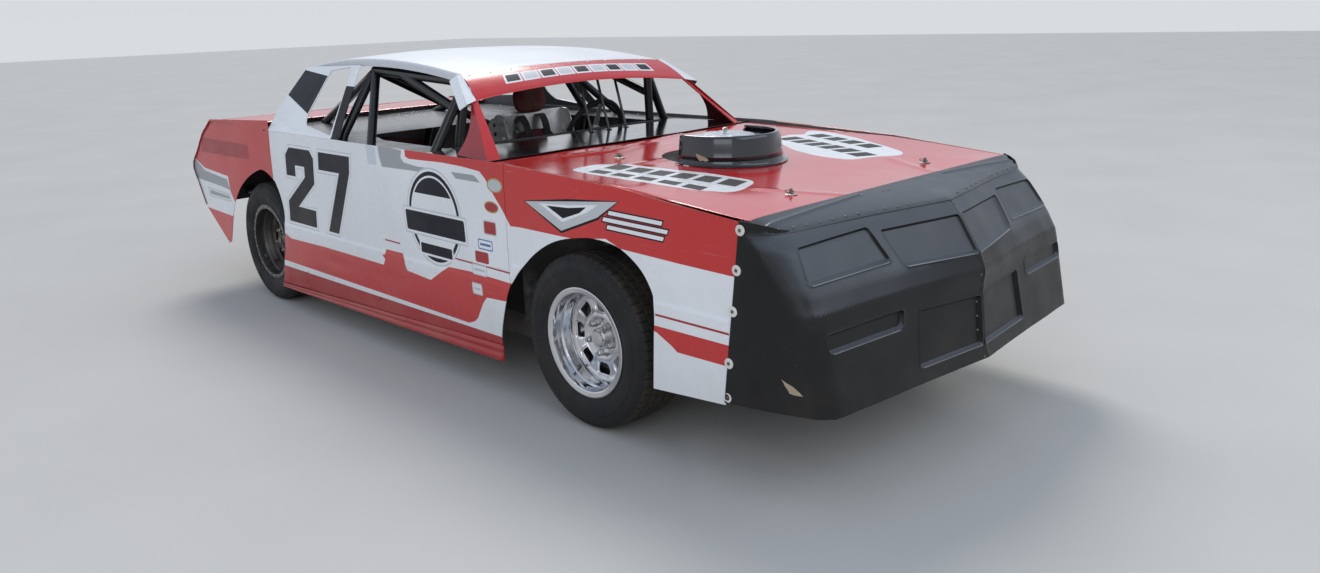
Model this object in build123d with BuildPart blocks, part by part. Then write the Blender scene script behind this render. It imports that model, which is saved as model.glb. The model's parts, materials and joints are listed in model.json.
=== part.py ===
from build123d import *
import math
import os

os.makedirs("parts", exist_ok=True)

# ---------------------------------------------------------------------------
# Dirt-track stock car. Millimetres. The car faces -Y, +X is its left side
# (driver's side), +Z is up, z = 0 is the ground under the tyres.
# Left and right pairs are written once for the left (+X) side and mirrored.
# ---------------------------------------------------------------------------

# driving dimensions
wheelbase = 2743.0
front_axle_y = -1280.0
rear_axle_y = front_axle_y + wheelbase
hub_z = 336.0               # wheel centre height = tyre radius
tyre_r = 336.0
tyre_w = 246.0
rim_edge_r = 213.0
bead_r = 192.0
front_tyre_x = 726.0        # tyre centre plane, front
rear_tyre_x = 714.0         # tyre centre plane, rear
side_x = 852.0              # outer face of doors, fenders and quarters
skin = 5.0                  # body sheet, drawn thicker than the real sheet
kingpin_x = 640.0
spindle_r = 18.0
pin_r = 10.0
run_fit = 0.06
arm_len = 100.0             # steering arm length behind the kingpin
sill_z = 977.0              # top of door panel
deck_z = 962.0              # top of the interior deck
roof_half = 600.0           # half width of the roof at its side edge
tail_y = 2464.0
hoop_y = 565.0              # main hoop of the cage
tube_r = 22.0

rail_w, rail_h = 50.0, 100.0
floor_z = 272.0             # underside of the floor sheet
front_rail_x, mid_rail_x, rear_rail_x = 380.0, 600.0, 430.0
front_rail_z, mid_rail_z, rear_rail_z = 260.0, 170.0, 400.0


def lean_x(z, off=0.0):
    """x of the leaning cabin side (sail, window and gusset plane) at height z"""
    return 846.0 - (z - 980.0) * (226.0 / 330.0) - off


def rod(p, q, r, mode=Mode.ADD):
    """round bar from p to q"""
    a, b = Vector(*p), Vector(*q)
    with BuildSketch(Plane(origin=a, z_dir=(b - a))) as s:
        Circle(r)
    extrude(s.sketch, amount=(b - a).length, mode=mode)


def plate(pts, t, mode=Mode.ADD):
    """flat plate through 3-D corner points, t thick on the side of the normal"""
    v = [Vector(*p) for p in pts]
    n = (v[1] - v[0]).cross(v[2] - v[0]).normalized()
    pl = Plane(origin=v[0], x_dir=(v[1] - v[0]), z_dir=n)
    loc = [pl.to_local_coords(p) for p in v]
    with BuildSketch(pl) as s:
        with BuildLine():
            Polyline(*[(p.X, p.Y) for p in loc], close=True)
        make_face()
    extrude(s.sketch, amount=t, mode=mode)


def block(x0, x1, y0, y1, z0, z1, mode=Mode.ADD):
    """box between two corners"""
    with Locations(((x0 + x1) / 2, (y0 + y1) / 2, (z0 + z1) / 2)):
        Box(abs(x1 - x0), abs(y1 - y0), abs(z1 - z0), mode=mode)


def side_plate(outline, x_out, t, mode=Mode.ADD):
    """plate in a plane of constant x, from (y, z) corners, outer face at x_out"""
    with BuildSketch(Plane(origin=(x_out - t, 0, 0), x_dir=(0, 1, 0), z_dir=(1, 0, 0))) as s:
        with BuildLine():
            Polyline(*outline, close=True)
        make_face()
    extrude(s.sketch, amount=t, mode=mode)


def strip_x(profile, half, mode=Mode.ADD):
    """closed (y, z) profile run across the car from -half to +half"""
    with BuildSketch(Plane(origin=(-half, 0, 0), x_dir=(0, 1, 0), z_dir=(1, 0, 0))) as s:
        with BuildLine():
            Polyline(*profile, close=True)
        make_face()
    extrude(s.sketch, amount=2 * half, mode=mode)


# ---------------------------------------------------------------------------
# frame and floor
# ---------------------------------------------------------------------------
# rails: (x centre, y front, y rear, z bottom)
rails = [
    (front_rail_x, -2150.0, -750.0, front_rail_z),
    (mid_rail_x, -810.0, 1010.0, mid_rail_z),
    (rear_rail_x, 950.0, 2200.0, rear_rail_z),
]
# crossmembers: (x from, x to, y front, y rear, z bottom, z top), the last column mirrors the box
crossmembers = [
    (-355.0, 355.0, -2150.0, -2100.0, 260.0, 360.0, False),
    (-405.0, 405.0, -1400.0, -1205.0, 190.0, 260.0, False),
    (-355.0, 355.0, -810.0, -750.0, 240.0, 300.0, False),
    (405.0, 625.0, -810.0, -750.0, 270.0, 330.0, True),
    (-575.0, 575.0, 100.0, 150.0, 236.0, 268.0, False),
    (-575.0, 575.0, 950.0, 1010.0, 236.0, 268.0, False),
    (-405.0, 405.0, 2150.0, 2200.0, 410.0, 490.0, False),
]
# uprights on each side: (x in, x out, y front, y rear, z bottom, z top)
uprights = [
    (455.0, 625.0, 950.0, 1010.0, 270.0, 500.0),
    (350.0, 412.0, -1350.0, -1210.0, 360.0, 470.0),
    (412.0, 545.0, -1330.0, -1230.0, 424.0, 434.0),
    (405.0, 455.0, 1438.0, 1488.0, 500.0, 630.0),
]
with BuildPart() as frame_rails:
    for xc, ya, yb, zb in rails:
        block(xc - rail_w / 2, xc + rail_w / 2, ya, yb, zb, zb + rail_h)
    mirror(about=Plane.YZ)
frame_rails.part.label = "frame_rails"
export_step(frame_rails.part, "parts/frame_rails.step")

with BuildPart() as frame_crossmembers:
    for xa, xb, ya, yb, za, zb, both in crossmembers:
        block(xa, xb, ya, yb, za, zb)
        if both:
            block(-xb, -xa, ya, yb, za, zb)
    # tow eye tabs under the end crossmembers: (y, z of the bore, z top)
    for y, z, zt in ((-2125.0, 236.0, 262.0), (2175.0, 308.0, 412.0)):
        block(-6.0, 6.0, y - 25.0, y + 25.0, z - 24.0, zt)
        rod((-20.0, y, z), (20.0, y, z), 14.0, mode=Mode.SUBTRACT)
frame_crossmembers.part.label = "frame_crossmembers"
export_step(frame_crossmembers.part, "parts/frame_crossmembers.step")

with BuildPart() as frame_uprights:
    for xa, xb, ya, yb, za, zb in uprights:
        block(xa, xb, ya, yb, za, zb)
    mirror(about=Plane.YZ)
    block(-560.0, 560.0, 1438.0, 1488.0, 630.0, 680.0)
frame_uprights.part.label = "frame_uprights"
export_step(frame_uprights.part, "parts/frame_uprights.step")


def cut_frame():
    """takes the frame out of the piece being made"""
    for piece in (frame_rails, frame_crossmembers, frame_uprights):
        add(piece.part, mode=Mode.SUBTRACT)


# steering column line: wheel centre and direction towards the firewall
wheel_c = (330.0, -40.0, 925.0)
col_dir = Vector(0, -1.0, -0.42).normalized()
col_len = 800.0
col_end = Vector(*wheel_c) + col_dir * col_len

with BuildPart() as firewall:
    block(-700, 700, -744, -738, floor_z + 6, 940)
    block(-165, 165, -750, -730, floor_z, 525, mode=Mode.SUBTRACT)
    with Locations((wheel_c[0], -741.0, wheel_c[2] - 0.42 * 701.0)):
        Box(70, 34, 70)
    rod(tuple(Vector(*wheel_c)), tuple(col_end), 12.0 + run_fit, mode=Mode.SUBTRACT)
firewall.part.label = "firewall"
export_step(firewall.part, "parts/firewall.step")

# ---------------------------------------------------------------------------
# roll cage: bars on the left side (start, end), mirrored, then cross bars
# ---------------------------------------------------------------------------
hoop_top = (568.0, hoop_y, 1292.0)
hoop_sill = (792.0, hoop_y - 5.0, 960.0)
hoop_foot = (612.0, hoop_y, 262.0)
front_top = (562.0, -215.0, 1252.0)
side_bars = [
    (hoop_top, hoop_sill),
    (hoop_sill, hoop_foot),
    (hoop_top, front_top),
    (front_top, (600.0, -184.0, 960.0)),
    ((600.0, -184.0, 960.0), (612.0, -200.0, 262.0)),
    ((570.0, -205.0, 1228.0), (722.0, -172.0, 950.0)),
    ((567.0, 300.0, 1278.0), (580.0, -200.0, 1115.0)),
    ((572.0, 548.0, 1282.0), (800.0, 250.0, 950.0)),
    ((560.0, hoop_y, 1290.0), (372.0, 1585.0, 950.0)),
    ((372.0, 1585.0, 950.0), (424.0, 1900.0, 490.0)),
]
cross_bars = [
    ((-568.0, hoop_y, 1292.0), (568.0, hoop_y, 1292.0)),
    ((-562.0, -215.0, 1252.0), (562.0, -215.0, 1252.0)),
    ((-560.0, hoop_y, 1290.0), (700.0, hoop_y, 640.0)),
    ((-690.0, hoop_y, 560.0), (690.0, hoop_y, 560.0)),
    ((-600.0, -190.0, 930.0), (600.0, -190.0, 930.0)),
]
with BuildPart() as roll_cage:
    for p, q in side_bars:
        rod(p, q, tube_r)
    for p in (hoop_top, hoop_sill, front_top, (600.0, -184.0, 960.0), (372.0, 1585.0, 950.0)):
        with Locations(p):
            Sphere(tube_r)
    mirror(about=Plane.YZ)
    for p, q in cross_bars:
        rod(p, q, tube_r)
    cut_frame()
roll_cage.part.label = "roll_cage"
export_step(roll_cage.part, "parts/roll_cage.step")

# transmission tunnel: (y front, y rear, half width, top)
tunnels = [(-736.0, -362.0, 160.0, 520.0), (-362.0, 946.0, 90.0, 450.0)]
with BuildPart() as floor_pan:
    for ya, yb, half, top in tunnels:
        with BuildSketch(Plane(origin=(0, ya, 0), x_dir=(1, 0, 0), z_dir=(0, -1, 0))):
            with BuildLine():
                Polyline((-half - skin, floor_z), (-half, floor_z), (-half, top), (half, top), (half, floor_z),
                         (half + skin, floor_z), (half + skin, top + skin), (-half - skin, top + skin), close=True)
            make_face()
        extrude(amount=ya - yb)
    block(-165, 165, -367, -362, floor_z, 525)
    block(-90, 90, -370, -350, floor_z - 5, 450, mode=Mode.SUBTRACT)
    # flat plates beside the tunnel, clear of it by the sealed joint
    with BuildSketch(Plane.XY.offset(floor_z)):
        with BuildLine():
            Polyline((165.5, -736), (640, -736), (640, 946), (95.5, 946), (95.5, -361.5), (165.5, -361.5), close=True)
        make_face()
        mirror(about=Plane.YZ)
    extrude(amount=skin)
    add(roll_cage.part, mode=Mode.SUBTRACT)
floor_pan.part.label = "floor_pan"
export_step(floor_pan.part, "parts/floor_pan.step")

# door bars: heights of the three rails in each door
with BuildPart() as door_bars:
    for z in (420.0, 600.0, 780.0):
        rod((790.0, -620.0, z), (790.0, 520.0, z), 19.0)
    for y in (-560.0, -60.0, 460.0):
        rod((790.0, y, 400.0), (790.0, y, 830.0), 19.0)
    mirror(about=Plane.YZ)
door_bars.part.label = "door_bars"
export_step(door_bars.part, "parts/door_bars.step")

# ---------------------------------------------------------------------------
# interior deck, dash and roof
# ---------------------------------------------------------------------------
hole_half, hole_front, hole_rear = 640.0, -215.0, 685.0
deck_rear = 1665.0
with BuildPart() as interior_deck:
    with BuildSketch(Plane.XY.offset(deck_z - skin)):
        with BuildLine():
            Polyline((-840, hole_front), (840, hole_front), (840, deck_rear), (-840, deck_rear), close=True)
        make_face()
        with BuildLine():
            Polyline((-hole_half, hole_front - 1), (hole_half, hole_front - 1), (hole_half, 410), (555, hole_rear),
                     (-555, hole_rear), (-hole_half, 410), close=True)
        make_face(mode=Mode.SUBTRACT)
    extrude(amount=skin)
    add(roll_cage.part, mode=Mode.SUBTRACT)
interior_deck.part.label = "interior_deck"
export_step(interior_deck.part, "parts/interior_deck.step")

hood_rear = -690.0
with BuildPart() as dash_panel:
    strip_x([(hood_rear + 7, 958), (hole_front - 1, 960), (hole_front - 1, 966), (hood_rear + 7, 966)], 838.0)
    add(roll_cage.part, mode=Mode.SUBTRACT)
    block(-650, 650, hole_front - 7, hole_front - 1, 860, 962)
    add(roll_cage.part, mode=Mode.SUBTRACT)
    with Locations(Plane(origin=tuple(Vector(*wheel_c)), z_dir=col_dir)):
        Cylinder(34, 2 * col_len, mode=Mode.SUBTRACT)
dash_panel.part.label = "dash_panel"
export_step(dash_panel.part, "parts/dash_panel.step")

# ---------------------------------------------------------------------------
# roof, visor, pillars, sails
# ---------------------------------------------------------------------------
# roof sections: (y, z of the side edge)
roof_sections = [(-255.0, 1290.0), (85.0, 1331.0), (446.0, 1351.0), (857.0, 1341.0), (1216.0, 1301.0)]
roof_crown, roof_t = 24.0, 6.0
with BuildPart() as roof_panel:
    for y, z in roof_sections:
        with BuildSketch(Plane(origin=(0, y, 0), x_dir=(1, 0, 0), z_dir=(0, -1, 0))):
            with BuildLine():
                ThreePointArc((-roof_half, z), (0, z + roof_crown), (roof_half, z))
                Line((roof_half, z), (roof_half, z - roof_t))
                ThreePointArc((roof_half, z - roof_t), (0, z + roof_crown - roof_t), (-roof_half, z - roof_t))
                Line((-roof_half, z - roof_t), (-roof_half, z))
            make_face()
    loft(ruled=True)
    edge = [(y, z) for y, z in roof_sections]
    for xo in (roof_half, -roof_half + 6.0):
        side_plate([(y, z - 1) for y, z in edge] + [(y, z - 34) for y, z in reversed(edge)], xo, 6.0)
roof_panel.part.label = "roof_panel"
export_step(roof_panel.part, "parts/roof_panel.step")

# visor sections: (y, half width, z side, z centre)
visor_sections = [(-258.0, 604.0, 1285.0, 1310.0), (-412.0, 645.0, 1188.0, 1230.0)]
with BuildPart() as windshield_visor:
    for y, h, zs, zc in visor_sections:
        with BuildSketch(Plane(origin=(0, y, 0), x_dir=(1, 0, 0), z_dir=(0, -1, 0))):
            with BuildLine():
                ThreePointArc((-h, zs), (0, zc), (h, zs))
                Line((h, zs), (h, zs - 6))
                ThreePointArc((h, zs - 6), (0, zc - 6), (-h, zs - 6))
                Line((-h, zs - 6), (-h, zs))
            make_face()
    loft(ruled=True)
windshield_visor.part.label = "windshield_visor"
export_step(windshield_visor.part, "parts/windshield_visor.step")

# thin upright bars in front of the driver, from the dash edge to the front cage bar
with BuildPart() as windshield_bars:
    for x in (90.0, 205.0, 320.0):
        rod((x, -300.0, 963.0), (x, -217.0, 1250.0), 7.0)
    add(roll_cage.part, mode=Mode.SUBTRACT)
    add(dash_panel.part, mode=Mode.SUBTRACT)
windshield_bars.part.label = "windshield_bars"
export_step(windshield_bars.part, "parts/windshield_bars.step")

# pillar covers and gussets: leaning (y, z) outlines
gusset = [(-512.0, 980.0), (-530.0, 1129.0), (-690.0, 980.0)]
upper_cover = [(-262.0, 1284.0), (-232.0, 1262.0), (-420.0, 1150.0), (-455.0, 1161.0)]
with BuildPart() as pillar_covers:
    plate([(lean_x(z), y, z) for y, z in gusset], -skin)
    plate([(lean_x(z) - 6, y, z) for y, z in upper_cover], -skin)
    plate([(802.0, -682.0, 964.0), (735.0, -640.0, 964.0), (620.0, -408.0, 1186.0), (676.0, -436.0, 1166.0)], skin)
    mirror(about=Plane.YZ)
    add(dash_panel.part, mode=Mode.SUBTRACT)
    add(windshield_visor.part, mode=Mode.SUBTRACT)
pillar_covers.part.label = "pillar_covers"
export_step(pillar_covers.part, "parts/pillar_covers.step")

# sail panel with the rear quarter window cut, plus the leaning B pillar strip
sail = [(480.0, 981.0), (1268.0, 981.0), (1268.0, 1040.0), (1262.0, 1100.0), (1236.0, 1160.0), (1182.0, 1304.0),
        (618.0, 1320.0)]
quarter_window = [(572.0, 992.0), (872.0, 1024.0), (900.0, 1053.0), (911.0, 1078.0), (895.0, 1262.0), (888.0, 1291.0),
                  (692.0, 1312.0)]
with BuildPart() as sail_panels:
    plate([(lean_x(z), y, z) for y, z in sail], skin)
    for t in (-40, 40):
        plate([(lean_x(z), y, z) for y, z in quarter_window], t, mode=Mode.SUBTRACT)
    mirror(about=Plane.YZ)
sail_panels.part.label = "sail_panels"
export_step(sail_panels.part, "parts/sail_panels.step")

# ---------------------------------------------------------------------------
# side panels: (y, z) outlines, mirrored
# ---------------------------------------------------------------------------
front_arch = [(-773, 177), (-769, 263), (-819, 400), (-863, 491), (-915, 545), (-1001, 623), (-1100, 685),
              (-1192, 721), (-1292, 742), (-1364, 751), (-1445, 749), (-1522, 735), (-1596, 697),
              (-1643, 655), (-1679, 594), (-1685, 528), (-1677, 455), (-1656, 254)]
rear_arch = [(1839, 527), (1737, 620), (1602, 697), (1452, 750), (1373, 752), (1302, 730), (1247, 703),
             (1204, 636), (1179, 545), (1194, 444), (1226, 327), (1257, 238), (1291, 135)]
fender_top = [(-2066, 902), (-1536, 951), (-776, sill_z)]
seam_y = 1270.0
# line where the door panel meets the front fender, from the top down to the wheel arch
fender_seam = [(-857.0, 974.2), (-857.0, 888.0), (-863.0, 491.0)]
door_gap = 3.0

with BuildPart() as front_fenders:
    side_plate([(y - door_gap / 2, z) for y, z in fender_seam] + front_arch[4:] + [(-1990, 281)] + fender_top[:2], side_x, skin)
    # top flange beside the hood
    for (ya, za), (yb, zb) in zip(fender_top[:-1], fender_top[1:]):
        side_plate([(ya, za), (yb, zb), (yb, zb - skin), (ya, za - skin)], side_x - skin, 24.0)
    mirror(about=Plane.YZ)
front_fenders.part.label = "front_fenders"
export_step(front_fenders.part, "parts/front_fenders.step")

with BuildPart() as door_panels:
    side_plate([(y + door_gap / 2, z) for y, z in fender_seam] + [front_arch[2], front_arch[1], (-773, 222), (1289, 137)] +
               list(reversed(rear_arch[6:-1])) +
               [(seam_y - door_gap, 713), (seam_y - door_gap, 980), (571, 980), (400, sill_z), (-776, sill_z)], side_x, skin)
    mirror(about=Plane.YZ)
door_panels.part.label = "door_panels"
export_step(door_panels.part, "parts/door_panels.step")

with BuildPart() as quarter_panels:
    side_plate([(seam_y, 1033), (2098, 996), (2240, 907), (tail_y, 694), (2323, 454), (2016, 255), (1980, 272),
                (1895, 442)] + rear_arch[:6] + [(seam_y, 714)], side_x, skin)
    mirror(about=Plane.YZ)
quarter_panels.part.label = "quarter_panels"
export_step(quarter_panels.part, "parts/quarter_panels.step")

with BuildPart() as rocker_skirts:
    side_plate([(-773, 218), (1289, 133), (1297, 110), (-776, 147)], side_x + 6, 12.0)
    side_plate([(-773, 160), (1100, 127), (1100, 122), (-773, 155)], side_x - 6, 60.0)
    mirror(about=Plane.YZ)
rocker_skirts.part.label = "rocker_skirts"
export_step(rocker_skirts.part, "parts/rocker_skirts.step")

# ---------------------------------------------------------------------------
# nose: (z, y at the centre, half width at the corner, y at the corner)
# ---------------------------------------------------------------------------
nose_sections = [
    (296.0, -2474.0, 800.0, -2403.0),
    (374.0, -2444.0, 803.0, -2388.0),
    (559.0, -2429.0, 815.0, -2352.0),
    (631.0, -2438.0, 819.0, -2338.0),
    (692.0, -2416.0, 812.0, -2308.0),
    (812.0, -2341.0, 796.0, -2228.0),
    (860.0, -2297.0, 787.0, -2178.0),
]


def nose_side_y(z):
    """front edge line of the fender, where the nose cover ends"""
    return -1990.0 - 76.0 * (z - 281.0) / 621.0


def nose_outline(yc, xk, yk, ys, inset):
    """plan outline of the nose at one height, inset by the cover's thickness"""
    right = [(side_x - 5 - inset, ys), (side_x - 12 - inset, yk + 95), (xk - 8 - inset, yk + 8 + inset),
             (xk * 0.55, yk + (yc - yk) * 0.70 + inset), (0.0, yc + inset)]
    return right + [(-x, y) for x, y in reversed(right[:-1])]


nose_t = 6.0
nose_corner_r = 62.0


def nose_volume(inset, grow):
    """lofts the nose volume inside the block being made, inset by the cover's thickness"""
    sections = []
    for i, (z, yc, xk, yk) in enumerate(nose_sections):
        zz = z + (grow if i == len(nose_sections) - 1 else (-grow if i == 0 else 0.0))
        with BuildSketch(Plane.XY.offset(zz)) as s:
            with BuildLine():
                Polyline(*nose_outline(yc, xk, yk, nose_side_y(z) + (2.0 if inset else 0.0), inset), close=True)
            make_face()
            corners = s.vertices().filter_by(lambda v: abs(abs(v.X) - (xk - 8 - inset)) < 1 and abs(v.Y - (yk + 8 + inset)) < 1)
            fillet(corners, nose_corner_r - inset)
        sections.append(s.sketch)
    loft(sections, ruled=True)


with BuildPart() as nose_inner:
    nose_volume(nose_t, 1.0)

with BuildPart() as nose_halves:
    nose_volume(0.0, 0.0)
    add(nose_inner.part, mode=Mode.SUBTRACT)
    block(-0.6, 0.6, -2600, -1900, 200, 1000, mode=Mode.SUBTRACT)
    # lower edge: level across the front, falling to the fender along the sides
    strip_x([(-1950, 200), (-1950, 285), (-1990, 289), (-2392, 322), (-2600, 322), (-2600, 200)], 900.0, mode=Mode.SUBTRACT)
nose_halves.part.label = "nose_halves"
export_step(nose_halves.part, "parts/nose_halves.step")

hood_front = -2082.0
nose_top_outline = [(-820, hood_front - 6), (820, hood_front - 6), (832, -2110), (784, -2184), (433, -2262), (0, -2300),
                    (-433, -2262), (-784, -2184), (-832, -2110)]
with BuildPart() as nose_top_panel:
    strip_x([(-2075, 904), (-2310, 862), (-2310, 868), (-2075, 910)], 850.0)
    with BuildSketch(Plane.XY.offset(800)):
        with BuildLine():
            Polyline(*nose_top_outline, close=True)
        make_face()
    extrude(amount=200, mode=Mode.INTERSECT)
nose_top_panel.part.label = "nose_top_panel"
export_step(nose_top_panel.part, "parts/nose_top_panel.step")

# ---------------------------------------------------------------------------
# hood and shroud
# ---------------------------------------------------------------------------
# hood sections: (y, z at the side edge, sag of the sheet at the centre)
hood_sections = [(hood_front, 900.0, 1.0), (-1900.0, 915.0, 11.0), (-1536.0, 944.0, 19.0), (-1100.0, 955.0, 19.0),
                 (hood_rear, 962.0, 5.0)]
hood_half = 817.0
cleaner_x, cleaner_y, cleaner_r = -40.0, -1295.0, 160.0
slot_y, slot_gap, slot_half = -1246.0, 108.0, 192.0
scoop_y0, scoop_y1, scoop_r = -1316.0, -1236.0, 222.0
scoop_z0, scoop_z1 = 915.0, 1048.0


def hood_volume(floor):
    """lofts the dished hood surface inside the block being made, down to the sheet's underside or to a floor height"""
    sections = []
    for y, z, sag in hood_sections:
        with BuildSketch(Plane(origin=(0, y, 0), x_dir=(1, 0, 0), z_dir=(0, -1, 0))) as s:
            with BuildLine():
                ThreePointArc((-hood_half, z), (0, z - sag), (hood_half, z))
                if floor:
                    Polyline((hood_half, z), (hood_half, floor), (-hood_half, floor), (-hood_half, z))
                else:
                    Line((hood_half, z), (hood_half, z - skin))
                    ThreePointArc((hood_half, z - skin), (0, z - sag - skin), (-hood_half, z - skin))
                    Line((-hood_half, z - skin), (-hood_half, z))
            make_face()
        sections.append(s.sketch)
    loft(sections, ruled=True)


with BuildPart() as hood:
    hood_volume(0.0)
    with BuildSketch(Plane.XY.offset(800)):
        with BuildLine():
            Polyline((-817, hood_front), (817, hood_front), (815, -1400), (800, hood_rear), (-800, hood_rear),
                     (-815, -1400), close=True)
        make_face()
    extrude(amount=300, mode=Mode.INTERSECT)
    with BuildSketch(Plane.XY.offset(800)):
        with Locations((cleaner_x, slot_y)):
            SlotCenterToCenter(slot_gap, 2 * slot_half, rotation=90)
    extrude(amount=300, mode=Mode.SUBTRACT)
hood.part.label = "hood"
export_step(hood.part, "parts/hood.step")


def scoop_volume(inset, grow):
    """lofts the shroud volume inside the block being made, open to the rear where it is inset"""
    back = scoop_y1 + (5.0 if inset else 0.0)
    sections = []
    for z, r in ((scoop_z0 - grow, scoop_r - inset), (scoop_z1 + grow, scoop_r - 16.0 - inset)):
        with BuildSketch(Plane.XY.offset(z)) as s:
            with BuildLine():
                Line((cleaner_x - r, back), (cleaner_x - r, scoop_y0))
                ThreePointArc((cleaner_x - r, scoop_y0), (cleaner_x, scoop_y0 - r), (cleaner_x + r, scoop_y0))
                Line((cleaner_x + r, scoop_y0), (cleaner_x + r, back))
                Line((cleaner_x + r, back), (cleaner_x - r, back))
            make_face()
        sections.append(s.sketch)
    loft(sections, ruled=True)


with BuildPart() as scoop_inner:
    scoop_volume(6.0, 1.0)

with BuildPart() as hood_bed:
    hood_volume(700.0)

with BuildPart() as hood_scoop:
    scoop_volume(0.0, 0.0)
    add(scoop_inner.part, mode=Mode.SUBTRACT)
    add(hood_bed.part, mode=Mode.SUBTRACT)
hood_scoop.part.label = "hood_scoop"
export_step(hood_scoop.part, "parts/hood_scoop.step")

# ---------------------------------------------------------------------------
# tail
# ---------------------------------------------------------------------------
with BuildPart() as rear_deck:
    block(-845, 845, deck_rear + 3, 2090, 984, 990)
rear_deck.part.label = "rear_deck"
export_step(rear_deck.part, "parts/rear_deck.step")

tail_line = [(2094, 992), (2236, 903), (2457, 694), (2317, 456)]
with BuildPart() as tail_panel:
    strip_x(tail_line + [(2309, 462), (2449, 692), (2231, 898), (2092, 985)], 846.5)
tail_panel.part.label = "tail_panel"
export_step(tail_panel.part, "parts/tail_panel.step")

with BuildPart() as bumper_bars:
    for y, z, half, y_in in ((-2358.0, 420.0, 620.0, -2152.0), (2270.0, 520.0, 600.0, 2202.0)):
        rod((-half, y, z), (half, y, z), 25.0)
    for s in (-1, 1):
        rod((s * 380, -2358, 420), (s * 380, -2150, 320), 20.0)
        rod((s * 410, 2270, 520), (s * 410, 2200, 460), 20.0)
    cut_frame()
bumper_bars.part.label = "bumper_bars"
export_step(bumper_bars.part, "parts/bumper_bars.step")

# ---------------------------------------------------------------------------
# power train and tanks
# ---------------------------------------------------------------------------
with BuildPart() as radiator:
    block(-330, 330, -2060, -1990, 362, 800)
radiator.part.label = "radiator"
export_step(radiator.part, "parts/radiator.step")

with BuildPart() as engine_block:
    block(-170, 170, -1560, -960, 264, 620)
    block(-260, 260, -1530, -990, 470, 690)
    block(-110, 110, -1400, -1160, 690, 780)
    block(cleaner_x - 65, cleaner_x + 65, cleaner_y - 75, cleaner_y + 75, 780, 915)
engine_block.part.label = "engine_block"
export_step(engine_block.part, "parts/engine_block.step")

with BuildPart() as air_cleaner:
    with Locations((cleaner_x, cleaner_y, 915 + 55)):
        Cylinder(cleaner_r, 110)
    with Locations((cleaner_x, cleaner_y, 1025 + 9)):
        Cone(cleaner_r, 45, 18)
    with Locations((cleaner_x, cleaner_y, 1050)):
        Cylinder(9, 20)
air_cleaner.part.label = "air_cleaner"
export_step(air_cleaner.part, "parts/air_cleaner.step")

with BuildPart() as driveline:
    block(-125, 125, -959, -700, 306, 500)
    block(-95, 95, -700, -380, 320, 470)
    rod((0, -380, 396), (0, 1312, 342), 38.0)
driveline.part.label = "driveline"
export_step(driveline.part, "parts/driveline.step")

with BuildPart() as exhaust_pipes:
    rod((250, -1100, 440), (250, -900, 200), 32.0)
    rod((250, -900, 200), (250, 700, 200), 32.0)
    for p in ((250, -900, 200),):
        with Locations(p):
            Sphere(32.0)
    mirror(about=Plane.YZ)
    add(engine_block.part, mode=Mode.SUBTRACT)
exhaust_pipes.part.label = "exhaust_pipes"
export_step(exhaust_pipes.part, "parts/exhaust_pipes.step")

with BuildPart() as fuel_cell:
    block(-350, 350, 1720, 2140, 430, 760)
    with Locations((-200, 1850, 770)):
        Cylinder(60, 30)
fuel_cell.part.label = "fuel_cell"
export_step(fuel_cell.part, "parts/fuel_cell.step")

# ---------------------------------------------------------------------------
# driver's seat: (y, z) line of the pan and back, and the side wings
# ---------------------------------------------------------------------------
seat_x, seat_half = 330.0, 225.0
seat_line = [(-20, 420), (0, 345), (360, 320), (425, 360), (520, 1010)]
seat_back = [(526, 1008), (432, 355), (362, 313), (-4, 338), (-27, 418)]
with BuildPart() as driver_seat:
    with BuildSketch(Plane(origin=(seat_x - seat_half, 0, 0), x_dir=(0, 1, 0), z_dir=(1, 0, 0))):
        with BuildLine():
            Polyline(*(seat_line + seat_back), close=True)
        make_face()
    extrude(amount=2 * seat_half)
    wing = [(-27, 418), (-4, 338), (362, 313), (432, 355), (526, 1008), (440, 1008), (340, 700), (250, 480), (0, 470)]
    for x in (seat_x - seat_half, seat_x + seat_half + 6):
        side_plate(wing, x, 6.0)
    # head rest pad behind the helmet
    block(seat_x - 110, seat_x + 110, 480, 526, 1000, 1150)
    # rails down to the floor
    for x in (seat_x - 180, seat_x + 180):
        block(x - 15, x + 15, 20, 350, floor_z + skin, 325)
driver_seat.part.label = "driver_seat"
export_step(driver_seat.part, "parts/driver_seat.step")

# ---------------------------------------------------------------------------
# steering wheel and shaft
# ---------------------------------------------------------------------------
wc = Vector(*wheel_c)
with BuildPart() as steering_wheel:
    wheel_plane = Plane(origin=wheel_c, x_dir=(1, 0, 0), z_dir=col_dir)
    with Locations(wheel_plane):
        Torus(178, 13)
        with PolarLocations(0, 3, start_angle=90):
            with Locations((90, 0, 0)):
                Box(180, 30, 6)
        Cylinder(40, 24)
    with BuildSketch(wheel_plane) as s:
        Circle(12.0)
    extrude(amount=720)
steering_wheel.part.label = "steering_wheel"
export_step(steering_wheel.part, "parts/steering_wheel.step")

# ---------------------------------------------------------------------------
# front suspension
# ---------------------------------------------------------------------------
lower_arm_z, upper_arm_z = 206.0, 450.0
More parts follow.
